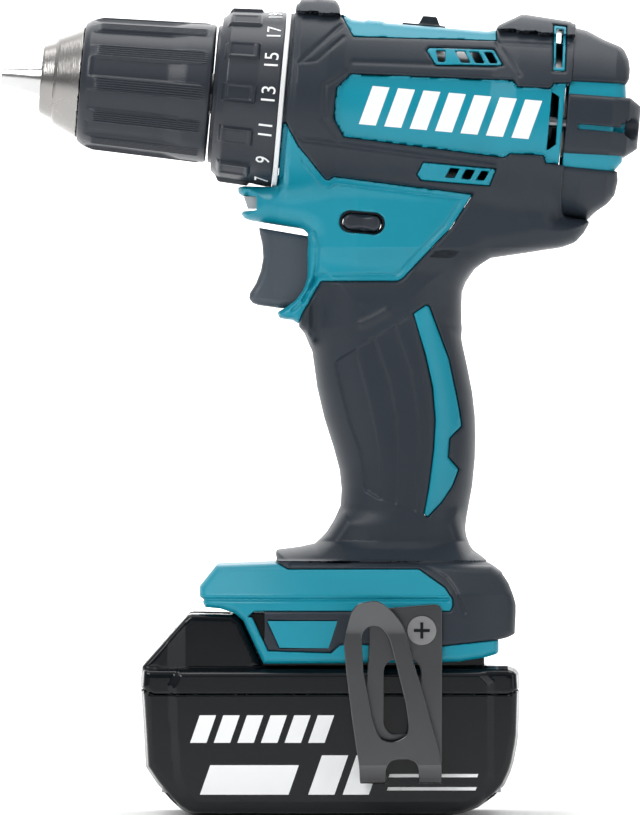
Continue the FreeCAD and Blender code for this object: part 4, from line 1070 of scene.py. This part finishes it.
def print_plate(name, shapes, y, thickness, material, body, slot):
    """Thin printed shapes, or a painted shade, that stand just over a flat side face at that y."""
    made = bmesh.new()
    for points in shapes:
        ring = [made.verts.new((x * MM, y * MM, z * MM)) for x, z in points]
        face = made.faces.new(ring)
        grown = bmesh.ops.extrude_face_region(made, geom=[face])
        moved = [v for v in grown["geom"] if isinstance(v, bmesh.types.BMVert)]
        bmesh.ops.translate(made, vec=(0, -thickness * MM * (1 if y < 0 else -1), 0), verts=moved)
    bmesh.ops.recalc_face_normals(made, faces=made.faces)
    return finish_piece(place_edited(name, made), material, body, slot)


def slanted_bar(x0, x1, z0, z1, lean=0.35):
    low, high = z0 * lean, z1 * lean
    shift = lean * z0
    return [(x0 + low - shift, z0), (x1 + low - shift, z0), (x1 + high - shift, z1),
            (x0 + high - shift, z1)]


def surface_y(x, z, side):
    """How far out the hard shell's surface is at each point of the side view."""
    near = np.full_like(x, 5.0)
    far = np.full_like(x, 42.0)
    for _ in range(30):
        middle = (near + far) / 2
        inside = teal_surface(x, side * middle, z) < 0
        near = np.where(inside, middle, near)
        far = np.where(inside, far, middle)
    return side * near


def wrapped_print(name, shapes, side, material, body, slot):
    """Thin printed four-sided shapes that follow the curved side of the housing."""
    across, up = 9, 17
    vertices, quads = [], []
    for a, b, c, d in shapes:
        s = np.linspace(0, 1, across)[:, None]
        t = np.linspace(0, 1, up)[None, :]
        corners = [np.array(p) for p in (a, b, c, d)]
        x, z = [corners[0][i] * (1 - s) * (1 - t) + corners[1][i] * s * (1 - t)
                + corners[2][i] * s * t + corners[3][i] * (1 - s) * t for i in (0, 1)]
        y = surface_y(x, z, side)
        start = sum(len(v) for v in vertices)
        for lift in (-0.3, 0.06):
            vertices.append(np.stack([x, y + side * lift, z], 2).reshape(-1, 3))
        index = np.arange(across * up).reshape(across, up) + start
        top = index + across * up
        front = np.stack([top[:-1, :-1], top[1:, :-1], top[1:, 1:], top[:-1, 1:]], 2).reshape(-1, 4)
        back = np.stack([index[:-1, :-1], index[:-1, 1:], index[1:, 1:], index[1:, :-1]], 2)
        ring = list(index[:, 0]) + list(index[-1, 1:]) + list(index[-2::-1, -1]) + list(index[0, -2:0:-1])
        wall = [[i, j, j + across * up, i + across * up] for i, j in zip(ring, ring[1:] + ring[:1])]
        found = np.concatenate([front, back.reshape(-1, 4), np.array(wall)])
        quads.append(found if side < 0 else found[:, ::-1])
    obj = add_mesh(name, np.concatenate(vertices), np.concatenate(quads))
    return finish_piece(sharpen(obj, 40), material, body, slot)


def make_prints():
    # Painted shade: a dark glossy cross laid in the clip screw's head, where its cross recess is in shade.
    x, z = CLIP_HOLE
    cross = [(x - 2.4, z + 0.45), (x - 0.45, z + 0.45), (x - 0.45, z + 2.4), (x + 0.45, z + 2.4),
             (x + 0.45, z + 0.45), (x + 2.4, z + 0.45), (x + 2.4, z - 0.45), (x + 0.45, z - 0.45),
             (x + 0.45, z - 2.4), (x - 0.45, z - 2.4), (x - 0.45, z - 0.45), (x - 2.4, z - 0.45)]
    print_plate("clip_screw_recess_painted_shade", [cross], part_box("belt_clip")[1].y / MM - 1.9, 1.7, GLOSS, "root",
                "black_plastic")
    barrel_bars = []
    for k in range(7):
        corners = ((9.0, -6.0), (14.2, -6.0), (17.4, 6.0), (12.2, 6.0))
        barrel_bars.append([world_xz(u + 7.8 * k, w) for u, w in corners])
    for side, word in SIDES:
        wrapped_print(f"barrel_print_{word}", barrel_bars, side, WHITE, "root", "white_plastic")
    face = BATTERY_HALF + 0.02
    bars = [slanted_bar(-43 + 7.2 * k, -38 + 7.2 * k, 22.8, 31.2) for k in range(6)]
    for bar in ((-40.0, -13.0, 7.0, 16.0), (-7.0, 1.0, 7.0, 19.0), (3.5, 11.5, 7.0, 19.0),
                (17.0, 44.0, 8.3, 9.3), (17.5, 44.5, 12.3, 13.3)):
        bars.append(slanted_bar(*bar))
    for side, word in SIDES:
        print_plate(f"battery_print_{word}", bars, side * face, 0.12, WHITE, "battery",
                    "white_plastic")


# ------------------------------------------------------------------ belt clip
def make_clip():
    """The clip's flat blank, then folded: the leaf, the U bend at the bottom, and the back plate."""
    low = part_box("belt_clip")[0] / MM
    leaf_y = low.y + 0.65
    back_y = -37.65
    bend_z = 16.4
    radius = (back_y - leaf_y) / 2
    turn = math.pi * radius

    curve = bpy.data.curves.new("clip_blank", "CURVE")
    curve.dimensions = "2D"
    curve.fill_mode = "BOTH"
    curve.extrude = 0.35
    curve.bevel_depth = 0.3
    curve.bevel_resolution = 3

    def loop(points, rounding):
        rounded = arc_points(points, rounding)
        spline = curve.splines.new("POLY")
        spline.points.add(len(rounded) - 1)
        for point, (px, pz) in zip(spline.points, rounded):
            point.co = (px, pz, 0, 1)
        spline.use_cyclic_u = True

    def back(z):
        return bend_z - turn - (z - bend_z)

    loop([(6.3, 62.9), (8.2, 65.2), (14.2, 66.3), (18.0, 63.2), (21.0, 59.8), (22.6, 56.6),
          (24.7, 47.7), (28.6, 35.1), (30.2, 29.0), (32.7, 20.6), (33.2, 16.6), (33.4, bend_z - turn),
          (33.5, back(40)), (33.5, back(64.9)), (12.0, back(63.2)), (11.8, back(54)),
          (11.0, back(40)), (9.4, bend_z - turn), (8.8, 16.6), (7.8, 21.7), (6, 35.1), (4.8, 44.9),
          (4.0, 55)], 2.4)
    loop([(8.9, 56.2), (11.0, 58.8), (14.8, 58.9), (17.8, 55.4), (20.1, 46.5), (22.9, 35.1),
          (23.8, 29), (23.2, 24.9), (18.6, 22.7), (14.5, 24.1), (12.3, 30), (9.5, 44.9)], 2.5)
    loop([(27.0, 14.0), (26.2, 17.4), (22.4, 18.9), (17.6, 17.8), (16.2, 15.0), (16.4, 10),
          (16.8, back(18)), (26.8, back(18)), (27.0, 6)], 2.5)
    loop([(15.8, back(46)), (18, back(48.4)), (25.4, back(48.4)), (27.6, back(46)),
          (27.6, back(28)), (25.4, back(25.2)), (18, back(25.2)), (15.8, back(28))], 2.0)
    hole = [(27.6 + 2.3 * math.cos(a), back(57.1) + 2.3 * math.sin(a))
            for a in np.linspace(0, 2 * math.pi, 24, endpoint=False)]
    loop(hole, 0.1)

    flat = curve_mesh("clip_blank", curve)
    sheet = bmesh.new()
    sheet.from_mesh(flat)
    bmesh.ops.remove_doubles(sheet, verts=sheet.verts, dist=0.001)
    levels = [bend_z - turn * k / 24 for k in range(25)]
    levels += [bend_z + 2.0 * k for k in range(1, 26)] + [bend_z - turn - 2.5 * k for k in range(1, 20)]
    cuts = [((0, level, 0), (0, 1, 0)) for level in levels]
    cuts += [((2.5 * k, 0, 0), (1, 0, 0)) for k in range(2, 14)]
    for place, facing in cuts:
        bmesh.ops.bisect_plane(sheet, geom=sheet.verts[:] + sheet.edges[:] + sheet.faces[:],
                               plane_co=place, plane_no=facing)
    for v in sheet.verts:
        x, s, out = v.co
        if s >= bend_z:
            flare = 1.4 * max(0.0, (s - 56.0) / 10.0) ** 2
            y, z = leaf_y - out - flare, s
        elif s > bend_z - turn:
            a = (bend_z - s) / radius
            reach = radius + out
            y = (leaf_y + back_y) / 2 - reach * math.cos(a)
            z = bend_z - reach * math.sin(a)
        else:
            y, z = back_y + out, 2 * bend_z - turn - s
        v.co = Vector((x, y, z)) * MM
    bmesh.ops.recalc_face_normals(sheet, faces=sheet.faces)
    finish_piece(place_edited("belt_clip_sheet", sheet), CLIP, "root", "clip_steel", "belt_clip")


# ------------------------------------------------------------------ floor, light, camera
CAMERA_AWAY = 3.5        # metres from the drill to the camera
VIEW_TALL = 0.251        # metres that fill the picture's longer side
SENSOR_MM = 36.0
def area_light(name, place, aim, size, power, colour=(1, 1, 1)):
    light = bpy.data.lights.new(name, "AREA")
    light.shape = "RECTANGLE"
    light.size = size[0]
    light.size_y = size[1]
    light.energy = power
    light.color = colour
    holder = place_object(name, light)
    holder.location = place
    holder.rotation_euler = (Vector(aim) - Vector(place)).to_track_quat("-Z", "Y").to_euler()
    holder.visible_camera = False


def make_stage():
    """A pale floor that curves up into a backdrop, soft lights all round, and the camera."""
    profile = [(-3.0, 0.0), (0.9, 0.0)]
    for k in range(1, 13):
        a = math.pi / 2 * k / 12
        profile.append((0.9 + 0.9 * math.sin(a), 0.9 - 0.9 * math.cos(a)))
    profile.append((1.8, 3.5))
    vertices = [(x, y, z) for y, z in profile for x in (-4.0, 4.0)]
    faces = [(2 * k, 2 * k + 1, 2 * k + 3, 2 * k + 2) for k in range(len(profile) - 1)]
    mesh = bpy.data.meshes.new("studio_floor")
    mesh.from_pydata(vertices, [], faces)
    floor = place_object("studio_floor", mesh)
    paper = moulded("studio_paper", (0.90, 0.90, 0.90), roughness=0.9, spread=0.01, bump=0.02, wear=0.0)
    glow = paper.node_tree.nodes["Principled BSDF"]
    glow.inputs["Emission Color"].default_value = (1.0, 1.0, 1.0, 1)
    tree = paper.node_tree
    spot = node(tree, "ShaderNodeTexCoord")
    split_spot = node(tree, "ShaderNodeSeparateXYZ")
    tree.links.new(spot.outputs["Object"], split_spot.inputs[0])
    far = map_range(tree, 0.1, 1.0, to_max=0.9)
    tree.links.new(split_spot.outputs["Y"], far.inputs["Value"])
    tree.links.new(far.outputs["Result"], glow.inputs["Emission Strength"])
    floor.data.materials.append(paper)

    world = bpy.data.worlds.new("studio_world")
    world.use_nodes = True
    tree = world.node_tree
    link = tree.links.new
    direction = node(tree, "ShaderNodeTexCoord")
    parts = node(tree, "ShaderNodeSeparateXYZ")
    link(direction.outputs["Generated"], parts.inputs[0])
    back = map_range(tree, from_min=-1.0, to_min=0.02, to_max=0.45)
    link(parts.outputs["Y"], back.inputs["Value"])
    above = map_range(tree, to_max=0.45)
    link(parts.outputs["Z"], above.inputs["Value"])
    total = node(tree, "ShaderNodeMath", operation="ADD")
    link(back.outputs["Result"], total.inputs[0])
    link(above.outputs["Result"], total.inputs[1])
    link(total.outputs["Value"], tree.nodes["Background"].inputs["Strength"])
    tree.nodes["Background"].inputs["Color"].default_value = (1.0, 1.0, 1.0, 1)
    bpy.context.scene.world = world
    bpy.context.scene.view_settings.view_transform = "Standard"
    area_light("key_light", (-0.9, -1.3, 1.3), (0, 0, 0.12), (0.9, 0.9), 20)
    area_light("fill_light", (1.3, -1.2, 0.6), (0, 0, 0.12), (0.8, 1.2), 5)
    area_light("top_light", (0.0, 0.1, 1.4), (0, 0, 0.1), (1.4, 0.7), 11)
    area_light("back_light", (0.2, 1.2, 1.0), (0, 0, 0.15), (1.6, 0.8), 5)

    camera = bpy.data.cameras.new("side_camera")
    camera.sensor_fit = "AUTO"
    camera.lens = SENSOR_MM * CAMERA_AWAY / VIEW_TALL
    camera.clip_end = 20.0
    holder = place_object("side_camera", camera)
    holder.location = (-0.0034, -CAMERA_AWAY, 0.125)
    holder.rotation_euler = (math.radians(90), 0, 0)
    bpy.context.scene.camera = holder


make_housing()
make_rear_cover()
make_chuck()
make_jaws()
make_chuck_body()
make_torque_ring()
make_numbers()
make_controls()
make_battery()
make_prints()
make_clip()
make_stage()
